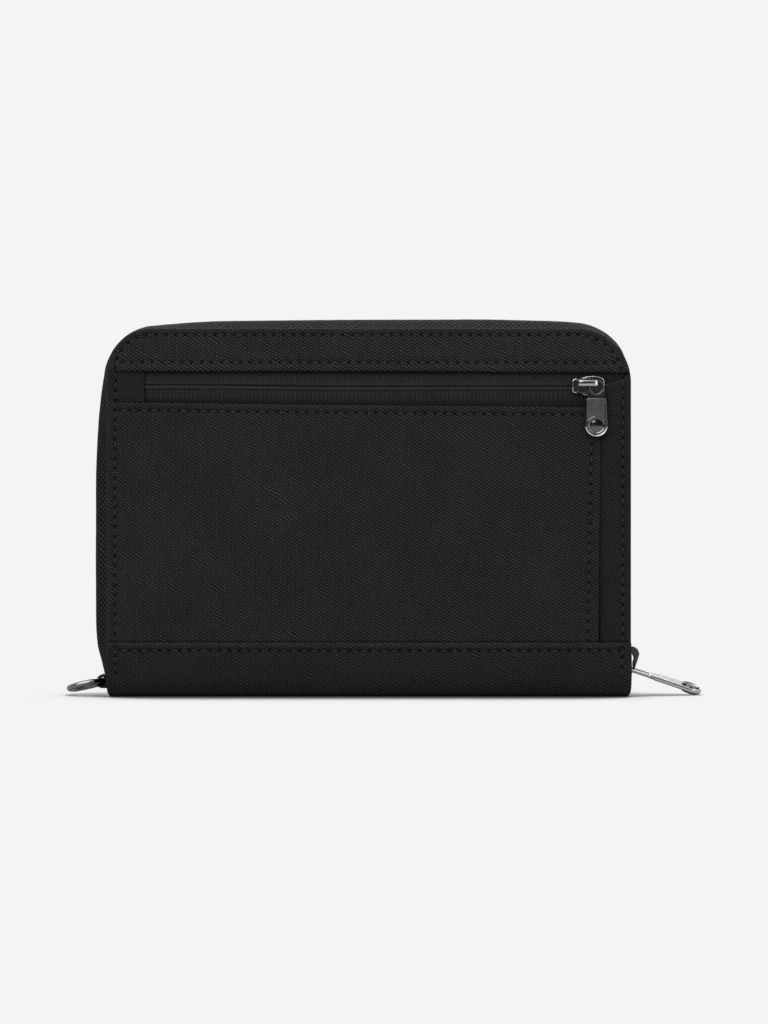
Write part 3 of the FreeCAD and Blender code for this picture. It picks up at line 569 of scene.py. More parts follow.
def extruded(outline, low, high, bevel):
    """A flat shape with rounded edges: outline (n, 2) in local x, y between two local z levels."""
    outline = np.asarray(outline, float)
    ahead, behind = np.roll(outline, -1, 0), np.roll(outline, 1, 0)
    tangent = unit(ahead - behind)
    area = 0.5 * np.sum(outline[:, 0] * ahead[:, 1] - ahead[:, 0] * outline[:, 1])
    inward = stack(-tangent[:, 1], tangent[:, 0]) * np.sign(area)
    margin = bevel + 0.04
    bends = np.linspace(0, PI / 2, 5)
    inset, drop = bevel * (1 - np.sin(bends)), bevel * (1 - np.cos(bends))
    insets = [margin, *inset, *inset[::-1], margin]
    levels = [low, *(low + drop), *(high - drop[::-1]), high]
    return tube(np.array([at_level(outline + inward * i, z) for i, z in zip(insets, levels)]))


def join_parts(parts):
    verts, quads, ngons, start = [], [], [], 0
    for v, q, n in parts:
        verts.append(v)
        quads.append(q + start)
        ngons += [[i + start for i in face] for face in n]
        start += len(v)
    return np.vstack(verts), np.vstack(quads), ngons


def in_frame(part, origin, axes):
    """The part moved from a local frame, given by its origin and its three axes."""
    verts, quads, caps = part
    return verts @ np.array(axes, float) + np.asarray(origin, float), quads, caps


def on_edge(part):
    """The part with its y and z exchanged."""
    return part[0][:, [0, 2, 1]], part[1], part[2]


# ---------------------------------------------------------------- seams


class Seam:
    """A line of stitches on a cover, as points (x, z)."""

    FAR = 9.0  # given as the distance where a seam is out of reach

    def __init__(self, points, pitch=PITCH):
        self.holes, _ = resample(points, pitch)
        self.line, self.run = resample(points, 0.2)
        self.spacing = self.run[-1] / (len(self.holes) - 1)

    def near(self, x, z):
        """Distance from each point to the seam, and the run along it counted in stitches."""
        distance, run = np.full(x.shape, self.FAR), np.zeros(x.shape)
        low, high = self.line.min(0) - 2, self.line.max(0) + 2
        inside = (x > low[0]) & (x < high[0]) & (z > low[1]) & (z < high[1])
        px, pz = x[inside], z[inside]
        best, at = np.full(px.shape, self.FAR**2), np.zeros(px.shape)
        for (lx, lz), where in zip(self.line, self.run):
            square = (px - lx) ** 2 + (pz - lz) ** 2
            closer = square < best
            best[closer], at[closer] = square[closer], where
        distance[inside], run[inside] = np.sqrt(best), at / self.spacing
        return distance, run


def nearest_seam(seams, x, z):
    distance, run = np.full(x.shape, Seam.FAR), np.zeros(x.shape)
    for seam in seams:
        d, r = seam.near(x, z)
        closer = d < distance
        distance[closer], run[closer] = d[closer], r[closer]
    return distance, run


def seam_marks(seams, x, z, **others):
    distance, run = nearest_seam(seams, x, z)
    return {"seam_run": run, "seam_near": np.clip(1 - distance / SEAM_REACH, 0, 1), **others}


def dent(seams, x, z):
    """Depth the seams pull the cloth in: a ditch with a deeper pit at each needle hole."""
    distance, run = nearest_seam(seams, x, z)
    along = (np.mod(run + 0.5, 1) - 0.5) * PITCH
    return 0.15 * bell(distance / 0.8) + 0.3 * bell(distance / 0.5) * bell(along / 0.6)


def stitch_piece(name, seams, surface, outward, body, *nodes, radius=0.17, thread=THREAD):
    """The visible stitches of some seams, lying on surface(x, z) on the side outward (-1 or 1)."""
    parts = []
    t = np.linspace(0, 1, 7)
    lift = -0.16 + 0.3 * np.sin(PI * t) ** 0.7
    section = circle(radius, 8) * (0.7 + 0.3 * np.sin(PI * t))[:, None, None]
    for seam in seams:
        for a, b in zip(seam.holes[:-1], seam.holes[1:]):
            along = b - a
            x, z = (a + along * 0.13 + along * 0.74 * t[:, None]).T
            y = surface(x, z)
            y = np.interp(t, [0, 1], [y[0], y[-1]]) * 0.5 + y * 0.5 + outward * lift
            parts.append(swept(stack(x, y, z), section, (0, 1, 0)))
    new_piece(name, join_parts(parts), thread, body, "thread", *nodes, smooth_angle=70)


# ---------------------------------------------------------------- cover outline


def corner_radius(x, inset):
    return np.where(np.asarray(x) < 0, CORNER_LEFT, CORNER_RIGHT) - inset


def outline_arch(inset, low, step, top_inset=None):
    """(x, z) points up the left side, over the top and down the right."""
    side, top = SIDE - inset, TOP - (inset if top_inset is None else top_inset)
    corners = [arc(sign * (side - radius), top - radius, radius, start, end, 24)
               for sign, radius, start, end in ((-1, CORNER_LEFT - inset, PI, PI / 2),
                                                (1, CORNER_RIGHT - inset, PI / 2, 0))]
    return resample(np.vstack([[[-side, low]], *corners, [[side, low]]]), step)[0]


def inside_depth(x, z, inset=0.0):
    """Distance inwards from the round-topped outline, itself inset from the cover's."""
    side, top, radius = SIDE - inset, TOP - inset, corner_radius(x, inset)
    centre_x, centre_z = side - radius, top - radius
    corner = (np.abs(x) > centre_x) & (z > centre_z)
    round_depth = radius - np.hypot(np.abs(x) - centre_x, z - centre_z)
    return np.where(corner, round_depth, np.minimum(side - np.abs(x), top - z))


def top_at(x, inset):
    """Height of the outline at x."""
    side, top, radius = SIDE - inset, TOP - inset, corner_radius(x, inset)
    over = np.clip(np.abs(x) - (side - radius), 0, radius)
    return top - radius + np.sqrt(np.maximum(radius**2 - over**2, 0))


def right_edge(z):
    """The outline's x on the right at height z."""
    lift = np.clip(z - (TOP - CORNER_RIGHT), 0, CORNER_RIGHT)
    return SIDE - CORNER_RIGHT + np.sqrt(CORNER_RIGHT**2 - lift**2)


def outline_columns(inset, step, fine, low=None):
    """Grid columns from side to side, closer together where the outline turns.

    With low given, they stop where the outline drops to that height.
    """
    side = SIDE - inset
    ends = []
    for sign, radius in ((-1, CORNER_LEFT - inset), (1, CORNER_RIGHT - inset)):
        reach = radius
        if low is not None:
            lift = max(low - (TOP - inset - radius), 0.0)
            reach = math.sqrt(max(radius**2 - lift**2, 0))
        bends = np.linspace(0, math.asin(min(reach / radius, 1.0)), fine)[1:]
        ends.append(sign * (side - radius + radius * np.sin(bends)))
    left, right = -(side - CORNER_LEFT + inset), side - CORNER_RIGHT + inset
    middle = np.linspace(left, right, int(round((right - left) / step)) + 1)
    return np.concatenate([ends[0][::-1], middle, ends[1]])


def round_top_grid(xs, low, height, coarse, fine, inset=0.0, focus=()):
    """x, z of a sheet that fills the outline above low, which is a height or a function of x."""
    x, share = grid(xs, lines_between(0, height, coarse, fine, focus) / height)
    low = low(x) if callable(low) else low
    return x, low + share * (top_at(x, inset) - low)


def rolled(depth, radius=0.5):
    """How far a sheet curls back next to its edge."""
    inner = np.clip(radius - depth, 0, radius)
    return radius - np.sqrt(np.maximum(radius**2 - inner**2, 0))


def turned_edge(depth, width=EDGE):
    """The extra ply between an edge and its seam."""
    return 0.18 * bell((depth - width * 0.5) / (width * 0.42))


def edge_relief(depth, width=EDGE, radius=0.5):
    """How far a sewn edge lies back: its curl, less its extra ply."""
    return rolled(depth, radius) - turned_edge(depth, width)


# ---------------------------------------------------------------- cloth simulation


class Field:
    """A swelling sampled on a regular grid over area, read back between its points."""

    def __init__(self, area, values):
        self.area, self.values = area, values

    def __call__(self, x, z):
        x0, x1, z0, z1 = self.area
        g = self.values
        rows, columns = g.shape
        u = np.clip((np.asarray(x) - x0) / (x1 - x0), 0, 1) * (rows - 1)
        v = np.clip((np.asarray(z) - z0) / (z1 - z0), 0, 1) * (columns - 1)
        i, j = np.minimum(u.astype(int), rows - 2), np.minimum(v.astype(int), columns - 2)
        fu, fv = smooth(u - i), smooth(v - j)
        low = g[i, j] * (1 - fu) + g[i + 1, j] * fu
        high = g[i, j + 1] * (1 - fu) + g[i + 1, j + 1] * fu
        return low * (1 - fv) + high * fv


def swell(name, area, height, rows=64, columns=44):
    """Blows a sheet up between its sewn edges with Blender's cloth; its highest point is then height."""
    x0, x1, z0, z1 = area
    x, z = grid(np.linspace(x0, x1, rows), np.linspace(z0, z1, columns))
    across, upward = np.sin(PI * (x - x0) / (x1 - x0)), np.sin(PI * (z - z0) / (z1 - z0))
    scale, last = 0.01, 22  # ten times real size; frames of the simulation
    start = 0.02 * across * upward * (1 + 0.6 * ripple(x, z, 11, 22))
    mesh = bpy.data.meshes.new(name)
    mesh.from_pydata((stack(x, -start, z).reshape(-1, 3) * scale).tolist(), [],
                     quads_over(numbered(rows, columns)).tolist())
    cloth_sheet = bpy.data.objects.new(name, mesh)
    scene = bpy.context.scene
    scene.collection.objects.link(cloth_sheet)
    cloth_sheet.vertex_groups.new(name="sewn").add(rim_loop(rows, columns).tolist(), 1.0, "REPLACE")
    cloth = cloth_sheet.modifiers.new("cloth", "CLOTH")
    settings = {"quality": 5, "mass": 0.3, "tension_stiffness": 25, "compression_stiffness": 25,
                "bending_stiffness": 2.0, "vertex_group_mass": "sewn", "shrink_min": -0.03,
                "use_pressure": True, "uniform_pressure_force": 6.0}
    for key, value in settings.items():
        setattr(cloth.settings, key, value)
    cloth.settings.effector_weights.gravity = 0.0
    cloth.collision_settings.use_collision = False
    for timed in (scene, cloth.point_cache):
        timed.frame_start, timed.frame_end = 1, last
    for number in range(1, last + 1):
        scene.frame_set(number)
    evaluated = cloth_sheet.evaluated_get(bpy.context.evaluated_depsgraph_get())
    lifted = np.abs(np.array([v.co[1] for v in evaluated.data.vertices]).reshape(rows, columns))
    bpy.data.objects.remove(cloth_sheet)
    scene.frame_set(1)
    return Field(area, lifted / max(lifted.max(), 1e-9) * height)


back_puff = swell("pocket_swell", (-SIDE_SEAM, 62.0, 13.0, 80.0), 0.55)
front_puff = swell("cover_swell", (-SIDE_SEAM, SIDE_SEAM, 13.0, 101.3), 1.0, rows=72, columns=48)


# ---------------------------------------------------------------- back cover


def pocket_edge(x):
    """Upper edge of the pocket panel."""
    return np.interp(x, [-SIDE, -20, COLUMN_X], [82.9, 82.1, 81.4])


def fold_x(z):
    """The pocket panel's folded right edge leans a little."""
    return np.interp(z, [15, 81], [64.5, 65.1])


def strip_edge(x):
    """Lower edge of the strip above the pocket zip."""
    return STRIP_LOW + 0.2 - 0.35 * smooth((x - 10) / 60) + 0.08 * ripple(x, x * 0, 14, 60)


def column_crease(x):
    """The slanting crease where the side panel turns back beside the slider and runs on under the strip."""
    return np.interp(x, [COLUMN_X, 67.0, 69.7, 72.0, SIDE], [87.3, 88.0, 88.7, 89.9, 91.0])


def chain_line(x):
    """The pocket zip's chain sags a little between its ends."""
    return CHAIN_Z + np.interp(x, [-66, -40, -12, 30, 66], [0.85, 0.75, 0.4, 0.45, 0.5])


left_seam = Seam([(-SIDE_SEAM, BAND_TOP - 0.4), (-71.4, 50), (-71.2, 91.5)])
right_seam = Seam([(SIDE_SEAM, BAND_TOP - 0.4), (71.35, 50), (71.4, 89.6)])
arch_seam = outline_arch(2.3, STRIP_LOW + 0.6, step=0.5, top_inset=1.9)
over_seam = Seam(arch_seam[(arch_seam[:, 1] > STRIP_LOW + 0.7)])
strip_seam = Seam([(-69.2, 93.95), (0, 93.9), (69.0, 93.8)])
top_seam = Seam([(-70.0, 80.6), (-20, 79.9), (62.7, 79.2)])
fold_seam = Seam([(62.7, 79.2), (62.1, 50), (61.4, BAND_TOP + 0.3)])
POCKET_SEAMS = (left_seam, top_seam, fold_seam)
STRIP_SEAMS = (over_seam, strip_seam)


def cover_waves(x, z, seed):
    return 0.10 * ripple(x, z, seed, 46) + 0.04 * ripple(x, z, seed + 1, 17)


def back_face(x, z):
    """y of the back cover's cloth before seams and edges."""
    return BACK_FACE - back_puff(x, z) - cover_waves(x, z, 3) - 0.05


def band_shade(z):
    """Shade a panel takes just above the spine band's edge."""
    return 0.55 * bell(np.maximum(z - BAND_TOP, 0) / 0.4)


def pocket_surface(x, z):
    y = back_face(x, z) + dent(POCKET_SEAMS, x, z)
    for depth, width in ((pocket_edge(x) - z, EDGE), (fold_x(z) - x, 2.6), (x + SIDE, EDGE)):
        y += edge_relief(depth, width)
    return y + 0.25 * bell((x - 64.0) / 4) * bell((z - 79.0) / 6)  # a hollow under the hanging pull


def left_edge_surface(x, z):
    """The left seam crosses the pocket panel and then the patch above it."""
    above = BACK_FACE + 0.2 + dent((left_seam,), x, z)
    return np.where(z < pocket_edge(x) - 0.3, pocket_surface(x, z), above)


def column_surface(x, z):
    y = back_face(x, z) + 0.12 + dent((right_seam,), x, z) + edge_relief(right_edge(z) - x)
    y += 0.32 * smooth((z - column_crease(x)) / 0.5) + 0.5 * smooth((z - strip_edge(x) + 0.7) / 0.7)
    return y + 0.5 * smooth((COLUMN_X + 3.0 - x) / 3.0) * smooth((z - 74.0) / 10.0)


def strip_surface(x, z):
    y = back_face(x, z) + dent(STRIP_SEAMS, x, z)
    return y + edge_relief(inside_depth(x, z), 2.0) + edge_relief(z - strip_edge(x), 2.4)


def build_pocket_panel():
    high = 82.0
    flat_x, flat_z = grid(lines_between(-SIDE, COLUMN_X, 0.55, 0.4, focus=(-SIDE_SEAM, 62.0)),
                          lines_between(PANEL_LOW, high, 0.62, 0.4, focus=(79.9,)))
    z = PANEL_LOW + (flat_z - PANEL_LOW) / (high - PANEL_LOW) * (pocket_edge(flat_x) - PANEL_LOW)
    x = -SIDE + (flat_x + SIDE) / (COLUMN_X + SIDE) * (fold_x(z) + SIDE)
    x += 0.1 * ripple(x, z, 21, 30) * (1 - smooth((x + SIDE) / 6))
    sheet("pocket_panel", stack(x, pocket_surface(x, z), z), BACK_FACE + 0.62, CLOTH, "back_cover",
          "outer_fabric", "pocket_front_panel", marks=seam_marks(POCKET_SEAMS, x, z, shadow=band_shade(z)))


def build_side_panel():
    """The narrow panel beside the pocket, its top corner turned back beside the slider."""
    x, z = grid(lines_between(COLUMN_X + 0.25, SIDE, 0.6, 0.4, focus=(71.35,)),
                lines_between(PANEL_LOW, 92.0, 0.66, 0.3, focus=(88.5,), reach=2.5))
    x = np.minimum(x, right_edge(z))
    above = z - column_crease(x)
    # Painted shade beside the pocket's fold, above the crease and under the strip's edge, a painted highlight just
    # below the crease, and band_shade's shade above the spine band.
    shade = 0.25 * bell((x - COLUMN_X) / 1.2) - 0.35 * bell((above + 0.25) / 0.35)
    shade += 0.35 * bell((above - 0.45) / 0.4) + 0.12 * smooth(above / 0.5)
    shade += 0.6 * bell(np.minimum(z - strip_edge(x), 0) / 0.6) + band_shade(z)
    sheet("side_panel", stack(x, column_surface(x, z), z), BACK_FACE + 0.72, SHADED_COLUMN_CLOTH, "back_cover",
          "outer_fabric", "pocket_side_panel",
          marks=seam_marks((right_seam,), x, z, shadow=np.clip(shade, -0.5, 0.95)))


def build_top_strip():
    """The panel over the pocket zip, round at both ends."""
    x, z = round_top_grid(outline_columns(0.0, 0.475, 50, low=STRIP_LOW + 0.4), strip_edge, 12.3, 0.5, 0.4,
                          focus=(2.6, 10.4))
    sheet("top_strip", stack(x, strip_surface(x, z), z), BACK_FACE + 0.65, LIT_STRIP_CLOTH, "back_cover",
          "outer_fabric", "pocket_top_panel", marks=seam_marks(STRIP_SEAMS, x, z))


def build_end_patch():
    """The folded patch over the pocket zip's left end, and the cover's rolled edge beside it."""
    inner = -62.9
    x, z = grid(lines_between(-SIDE, inner, 0.5, 0.3, focus=(-SIDE_SEAM,)),
                lines_between(81.6, STRIP_LOW + 0.8, 0.5, 0.35))
    y = BACK_FACE + 0.22 + 0.1 * ripple(x, z, 8, 9) + rolled(inner - x, 0.45) + rolled(x + SIDE)
    y += dent((left_seam,), x, z) - 1.3 * turned_edge(x + SIDE) - 0.2 * bell((x - inner + 1.4) / 0.9)
    # Painted shade under the strip's and the pocket's edges and along the patch's folded inner edge.
    under = bell((strip_edge(x) - z) / 0.7) + bell((z - pocket_edge(x)) / 0.5)
    shade = 0.45 * under * smooth(x + SIDE_SEAM) + 0.5 * bell((x - inner) / 0.35)
    sheet("zip_end_patch", stack(x, y, z), BACK_FACE + 0.85, SHADED_COLUMN_CLOTH, "back_cover", "outer_fabric",
          "pocket_zip_end_tab", uv=stack(z, x), marks=seam_marks((left_seam,), x, z, shadow=shade))


def build_pocket_zip():
    """Two ribbed tapes whose folded edges meet over the coils; the teeth show through as ribs."""
    low, high = cad_mm("pocket_tape_upper")
    face, back, half = low[1], high[1], high[0]
    near_chain = [0.0, 0.06, 0.14, 0.26, 0.4, 0.55, 0.72, 0.9, 1.1, 1.3, 1.5, 1.7, 1.95, 2.2, 2.5, 2.8, 3.1]
    for side, name in ((1, "upper"), (-1, "lower")):
        far = abs(cad_mm("pocket_tape_" + name)[max(side, 0)][2] - CHAIN_Z) - 0.6
        x, v = grid(np.arange(-half, half, 0.29), np.concatenate([near_chain, np.arange(3.5, far, 0.45)]))
        z = chain_line(x) + side * (v + CHAIN_GAP * 0.6)
        turn = 2 * PI * x / 1.22  # one turn to each tooth
        wobble = 2 * PI / 1.22 * 0.25 * ripple(x, v * 2, 33 + side, 6)
        rib = 0.5 + 0.5 * np.cos(turn + wobble)
        rib_zone = smooth((v - 1.35) / 0.4) * (1 - smooth((v - 3.2) / 0.6))
        row = bell((v - (1.2 if side < 0 else 1.0)) / 0.22)
        dots = row * (0.5 - 0.5 * np.cos(turn))
        beads = bell((v - 0.5) / 0.3) * (0.5 + 0.5 * np.cos(2 * turn))
        y = face + 0.14 + rolled(v, 0.32) - 0.12 * bell((v - 0.8) / 0.7) + 0.25 * smooth((v - 3.4) / 1.4)
        y += 0.1 * row + 0.1 * dots - 0.14 * rib * rib_zone - 0.05 * beads
        y += 0.06 * ripple(x, z, 31 + side, 14)
        inner = stack(x, np.maximum(y + 0.3, back - 0.02), z)
        inner[:, 0, 1] = y[:, 0] + 0.1
        strength, rib_shade = (1.25, 0.5) if side < 0 else (0.35, 0.35)
        # Painted shade between the ribs, on the row of dots, at the chain gap, further out under the panels and under
        # the edges above, with a painted highlight on the beads.
        shadow = rib_shade * (1 - rib) * rib_zone + strength * (0.3 * row + 0.5 * dots - 0.25 * beads)
        edge = strip_edge(x) - z if side > 0 else z - pocket_edge(x)
        shadow += 0.3 * smooth(v - 3.2) + 0.5 * bell(v / 0.12) + 0.45 * bell(np.maximum(edge, 0) / 0.9)
        sheet("pocket_zip_tape_" + name, stack(x, y, z), inner, ZIP_TAPE, "back_cover", "zip_tape",
              "pocket_tape_" + name, marks={"shadow": np.clip(shadow, -0.5, 0.92)})
    for side, name in ((1, "upper"), (-1, "lower")):
        node = "pocket_coil_" + name
        low, high = cad_mm(node)
        middle = (low + high) / 2
        run = np.linspace(low[0], high[0], 30)
        path = stack(run, middle[1], middle[2] + (chain_line(run) - CHAIN_Z) * 0.8)
        build_coil("pocket_chain_" + name, path, (0, 0, 1), 0.5, "back_cover", node, side)


def build_coil(name, path, across, reach, body, node, side):
    """A wound nylon coil that follows a path: flat loops that reach sideways between the other half's."""
    pitch, wire, radius = 1.1, 0.19, 0.5
    points, at = resample(path, 0.11)
    turn = 2 * PI * at / pitch + (PI if side > 0 else 0)
    over, beside = frames_along(points, across)
    wide, deep = np.cos(turn) * (reach - wire) * side, (radius - wire) * 0.92 * np.sin(turn)
    centre = points + wide[:, None] * over + deep[:, None] * beside
    part = swept(centre, circle(wire, 6), beside[0] * 0.3 + np.array([0.31, 0.77, 0.55]))
    new_piece(name, part, COIL, body, "zip_coil", node, smooth_angle=80)


# ---------------------------------------------------------------- gusset and main chain

# How far the chain stands out from the cover's outline, at places round it.
SWELLS = (
    ((-73.6, 5.0), 0.2), ((-73.6, 8.5), 1.9), ((-73.6, 12.5), 3.1), ((-73.6, 17.0), 3.6),
    ((-73.6, 40.0), 3.7), ((-73.6, 66.0), 3.6), ((-73.6, 76.0), 3.1), ((-73.6, 84.0), 2.3),
    ((-73.6, 90.0), 1.5), ((-73.0, 95.0), 0.5), ((-69.0, 101.0), 0.3), ((-62.5, 103.6), 0.8),
    ((-57.0, 103.6), 1.5), ((-47.0, 103.6), 2.2), ((-30.0, 103.6), 2.5), ((10.0, 103.6), 2.8),
    ((40.0, 103.6), 2.8), ((55.0, 103.6), 2.2), ((63.0, 102.8), 1.6), ((69.0, 99.2), 1.1),
    ((72.4, 95.0), 0.5), ((73.6, 90.0), -1.0), ((73.6, 80.0), -1.0), ((73.6, 5.0), -1.0),
)


class Gusset:
    """The main tape's course round a cover."""

    LOW = TAPE_LOW[2] - 0.3

    def __init__(self):
        self.points = outline_arch(0.0, self.LOW, 0.7)
        self.out, self.at = normals(self.points), run_along(self.points)
        where = [self.at[np.argmin(np.linalg.norm(self.points - p, axis=1))] for p, _ in SWELLS]
        bulge = np.interp(self.at, where, [out for _, out in SWELLS])
        self.bulge = np.convolve(np.pad(bulge, 8, mode="edge"), np.ones(17) / 17, mode="valid")

    def place(self, out, y):
        """Points at the given outward offset, whose last axis is the course, and y."""
        return stack(self.points[:, 0] + self.out[:, 0] * out, y, self.points[:, 1] + self.out[:, 1] * out)


def build_gusset(side, cover):
    """Half of the gusset: from under the cover's edge, over the swell, to the folded edge at the chain."""
    body = cover + "_cover"
    root_y = (abs(BACK_FACE) if side < 0 else FRONT_FACE) - 0.7
    course = Gusset()
    levels = np.concatenate([np.linspace(root_y, 0.55, 34), [0.42, 0.33, 0.28, CHAIN_GAP + 0.1]])[:, None]
    depth = root_y - levels
    wave = ripple(course.at, course.at * 0, 51 + side, 19)
    small_wave = ripple(course.at, course.at * 0, 54 + side, 5)
    out = -0.45 + (course.bulge + 0.45) * smooth(depth / (root_y - 3.9))
    out += 0.3 * np.sin(PI * np.minimum(1, depth / 6)) * (course.bulge > 0.3)
    out += (0.14 * wave + 0.05 * small_wave) * np.sin(PI * np.minimum(1, depth / (root_y - 2.0)))
    out += 0.06 * np.cos(2 * PI * course.at / PITCH) * bell((depth - 1.6) / 0.9)  # puckers at the stitches
    out -= rolled(levels - CHAIN_GAP - 0.1, 0.3) + 0.12 * bell((levels - 1.9) / 0.25)
    outer = course.place(out, side * levels)
    step = stack(-0.42 * course.out[:, 0], -side * 0.25 * (1 - smooth(depth / 2.0)), -0.42 * course.out[:, 1])
    # Painted light: the sides darker and the top lighter, as the light falls from above, and painted shade where the
    # tape runs under the cover's edge.
    shade = 0.24 * course.out[:, 0] ** 2 - 0.26 * course.out[:, 1] ** 2 + 0.5 * bell(depth / 0.8)
    front, back, uv = (a.swapaxes(0, 1) for a in (outer, outer + step, stack(course.at, levels)))
    sheet(cover + "_gusset", front, back, GUSSET_TAPE, body, "zip_tape", cover + "_main_tape", uv=uv,
          marks={"shadow": shade.T})

    low = cad_mm(cover + "_main_coil")[0][2]
    start = np.searchsorted(course.at, low - course.LOW)
    right_low = low if side < 0 else cad_mm("front_main_stops")[1][2] + 0.1
    end = np.flatnonzero((course.points[:, 0] > 0) & (course.points[:, 1] > right_low))[-1]
    path = course.place(course.bulge - 0.97, side * 0.62)[start:end]
    build_coil(cover + "_main_chain", path, (0, 1, 0), 0.85, body, cover + "_main_coil", side)
    lump = extruded(rounded_polygon(corners_of(-0.55, 0.55, -0.6, 0.6), 0.3), -0.7, 0.7, 0.2)
    here = course.place(course.bulge - 0.98, side * 0.95)
    stops = []
    for k in (start - 1, end):
        outwards = np.array([course.out[k, 0], 0, course.out[k, 1]])
        stops.append(in_frame(lump, here[k], (outwards, (0, 1, 0), np.cross(outwards, (0, 1, 0)))))
    metal(cover + "_main_stop_caps", join_parts(stops), BLACK_METAL, body, cover + "_main_stops",
          smooth_angle=40)


# ---------------------------------------------------------------- spine band

BAND_UNDER = 13  # points of the band's profile that lie under the spine
BAND_SEAMS = (Seam([(-70.0, 13.1), (0, 12.9), (70.2, 13.0)]), Seam([(-71.2, 14.0), (-71.1, 6.8)]),
              Seam([(71.1, 14.0), (71.0, 5.6)]))


def band_profile():
    """(y, z) of the band from its top edge down and round the fold to the spine's middle."""
    radius = 1.5
    down = lines_between(0, BAND_TOP - radius, 0.8, 0.42, focus=(EDGE,))
    bend = arc(-OUTER_FACE + radius, radius, radius, PI, 1.5 * PI, 9)[1:]
    under = np.linspace(-OUTER_FACE + radius, -0.02, BAND_UNDER + 1)[1:]
    return np.vstack([stack(-OUTER_FACE, BAND_TOP - down), bend, stack(under, 0)])


def band_surface(x, z):
    """Distance outwards from the spine band's nominal face."""
    out = 0.06 * ripple(x, z, 61, 40) + 0.22 * bell((z - 8.0) / 6.5) - dent(BAND_SEAMS, x, z)
    return out - edge_relief(BAND_TOP - z, radius=0.45)


def build_band(side, cover):
    """The spine's outer cloth: one half wraps from a cover round the fold to the middle of the spine."""
    profile = band_profile()
    xs = lines_between(-SIDE, SIDE, 0.55, 0.4, focus=(-71.1, 71.1)) / SIDE
    share, index = grid(xs, np.arange(len(profile)))
    z = profile[index, 1]
    narrow = 1.5 * (1 - np.sqrt(np.clip(1 - (1 - np.clip(z / 3.2, 0, 1)) ** 2, 0, 1)))
    x = share * (SIDE + 0.18 * bell((z - 8.5) / 5.0) - narrow)
    cloth_z = np.where(index < len(profile) - BAND_UNDER, z, -9)
    out = band_surface(x, cloth_z) * smooth(z / 3.0) - rolled(SIDE - np.abs(x))
    normal = -normals(profile)[index]
    outer = profile[index] + normal * out[..., None]
    outer[..., 1] += np.where(z < 0.05, 0.06, 0)  # clear of the floor
    inner = outer - normal * 0.6
    # Painted shade, darker towards the floor, and a painted highlight just under the band's top edge.
    shade = 0.3 * (1 - smooth(z / 7.0)) - 0.22 * bell((BAND_TOP - z - 0.6) / 0.8)
    fold, bend = side * OUTER_FACE, 2.2
    body = ("spine", cover + "_cover", (0, (fold - side * bend) * MM, 0), (0, fold * MM, bend * MM))
    nodes = (cover + "_spine_band", "spine_base")[: 2 if side < 0 else 1]
    sheet(cover + "_spine_band_cloth", stack(x, -side * outer[..., 0], np.maximum(outer[..., 1], 0.03)),
          stack(x * 0.998, -side * inner[..., 0], inner[..., 1]), SHADED_BAND_CLOTH, body, "outer_fabric", *nodes,
          uv=stack(x, -run_along(profile)[index]), marks=seam_marks(BAND_SEAMS, x, cloth_z, shadow=shade))


# ---------------------------------------------------------------- linings


def squeezed(x, inset, right):
    """x of a sheet inset on both sides, with its right-hand edge pulled in to right."""
    side = SIDE - inset
    return -side + (x + side) * (right + side) / (2 * side)


def lining_sheet(name, inset, right, low, face, back, toward, seed, body, node):
    """A round-topped sheet of lining with a rolled, stitched edge; face is its visible side."""
    x, z = round_top_grid(outline_columns(inset, 1.5, 26), low, TOP - inset - low, 1.3, 0.5, inset)
    depth = np.minimum(inside_depth(x, z, inset), z - low)
    lift = rolled(depth, 0.16) - 0.07 * ripple(x, z, seed, 25) + 0.12 * bell((depth - 2.0) / 0.5)
    y = face - toward * (lift - 0.04 * ripple(x, z, seed + 1, 9))
    sheet(name, stack(squeezed(x, inset, right), y, z), back, LINING, body, "lining", node, uv=stack(x, z))


def flat_at(level):
    """A flat surface for stitches to lie on."""
    return lambda x, z: np.full(np.shape(x), level)


def build_linings():
    for side, cover in COVERS:
        low, high = cad_mm(cover + "_lining")
        face, back = (high[1], low[1]) if side < 0 else (low[1], high[1])
        inset, right, body = TOP - high[2], high[0], cover + "_cover"
        lining_sheet(cover + "_lining_cloth", inset, right, low[2] + 1.5, face, back, -side, 70 + side, body,
                     cover + "_lining")
        hem = outline_arch(inset + 2.0, low[2] + 8.0, step=0.5)
        hem[:, 0] = squeezed(hem[:, 0], inset, right)
        stitch_piece(cover + "_lining_stitches", [Seam(hem, pitch=2.6)], flat_at(face), -side, body,
                     radius=0.14, thread=INNER_THREAD)
    inset, back = 1.2, cad_mm("pocket_lining")[1][1]
    lining_sheet("zip_pocket_bag", inset, SIDE - inset, 9.0, back - 0.28, back - 0.02, -1, 81, "back_cover",
                 "pocket_lining")


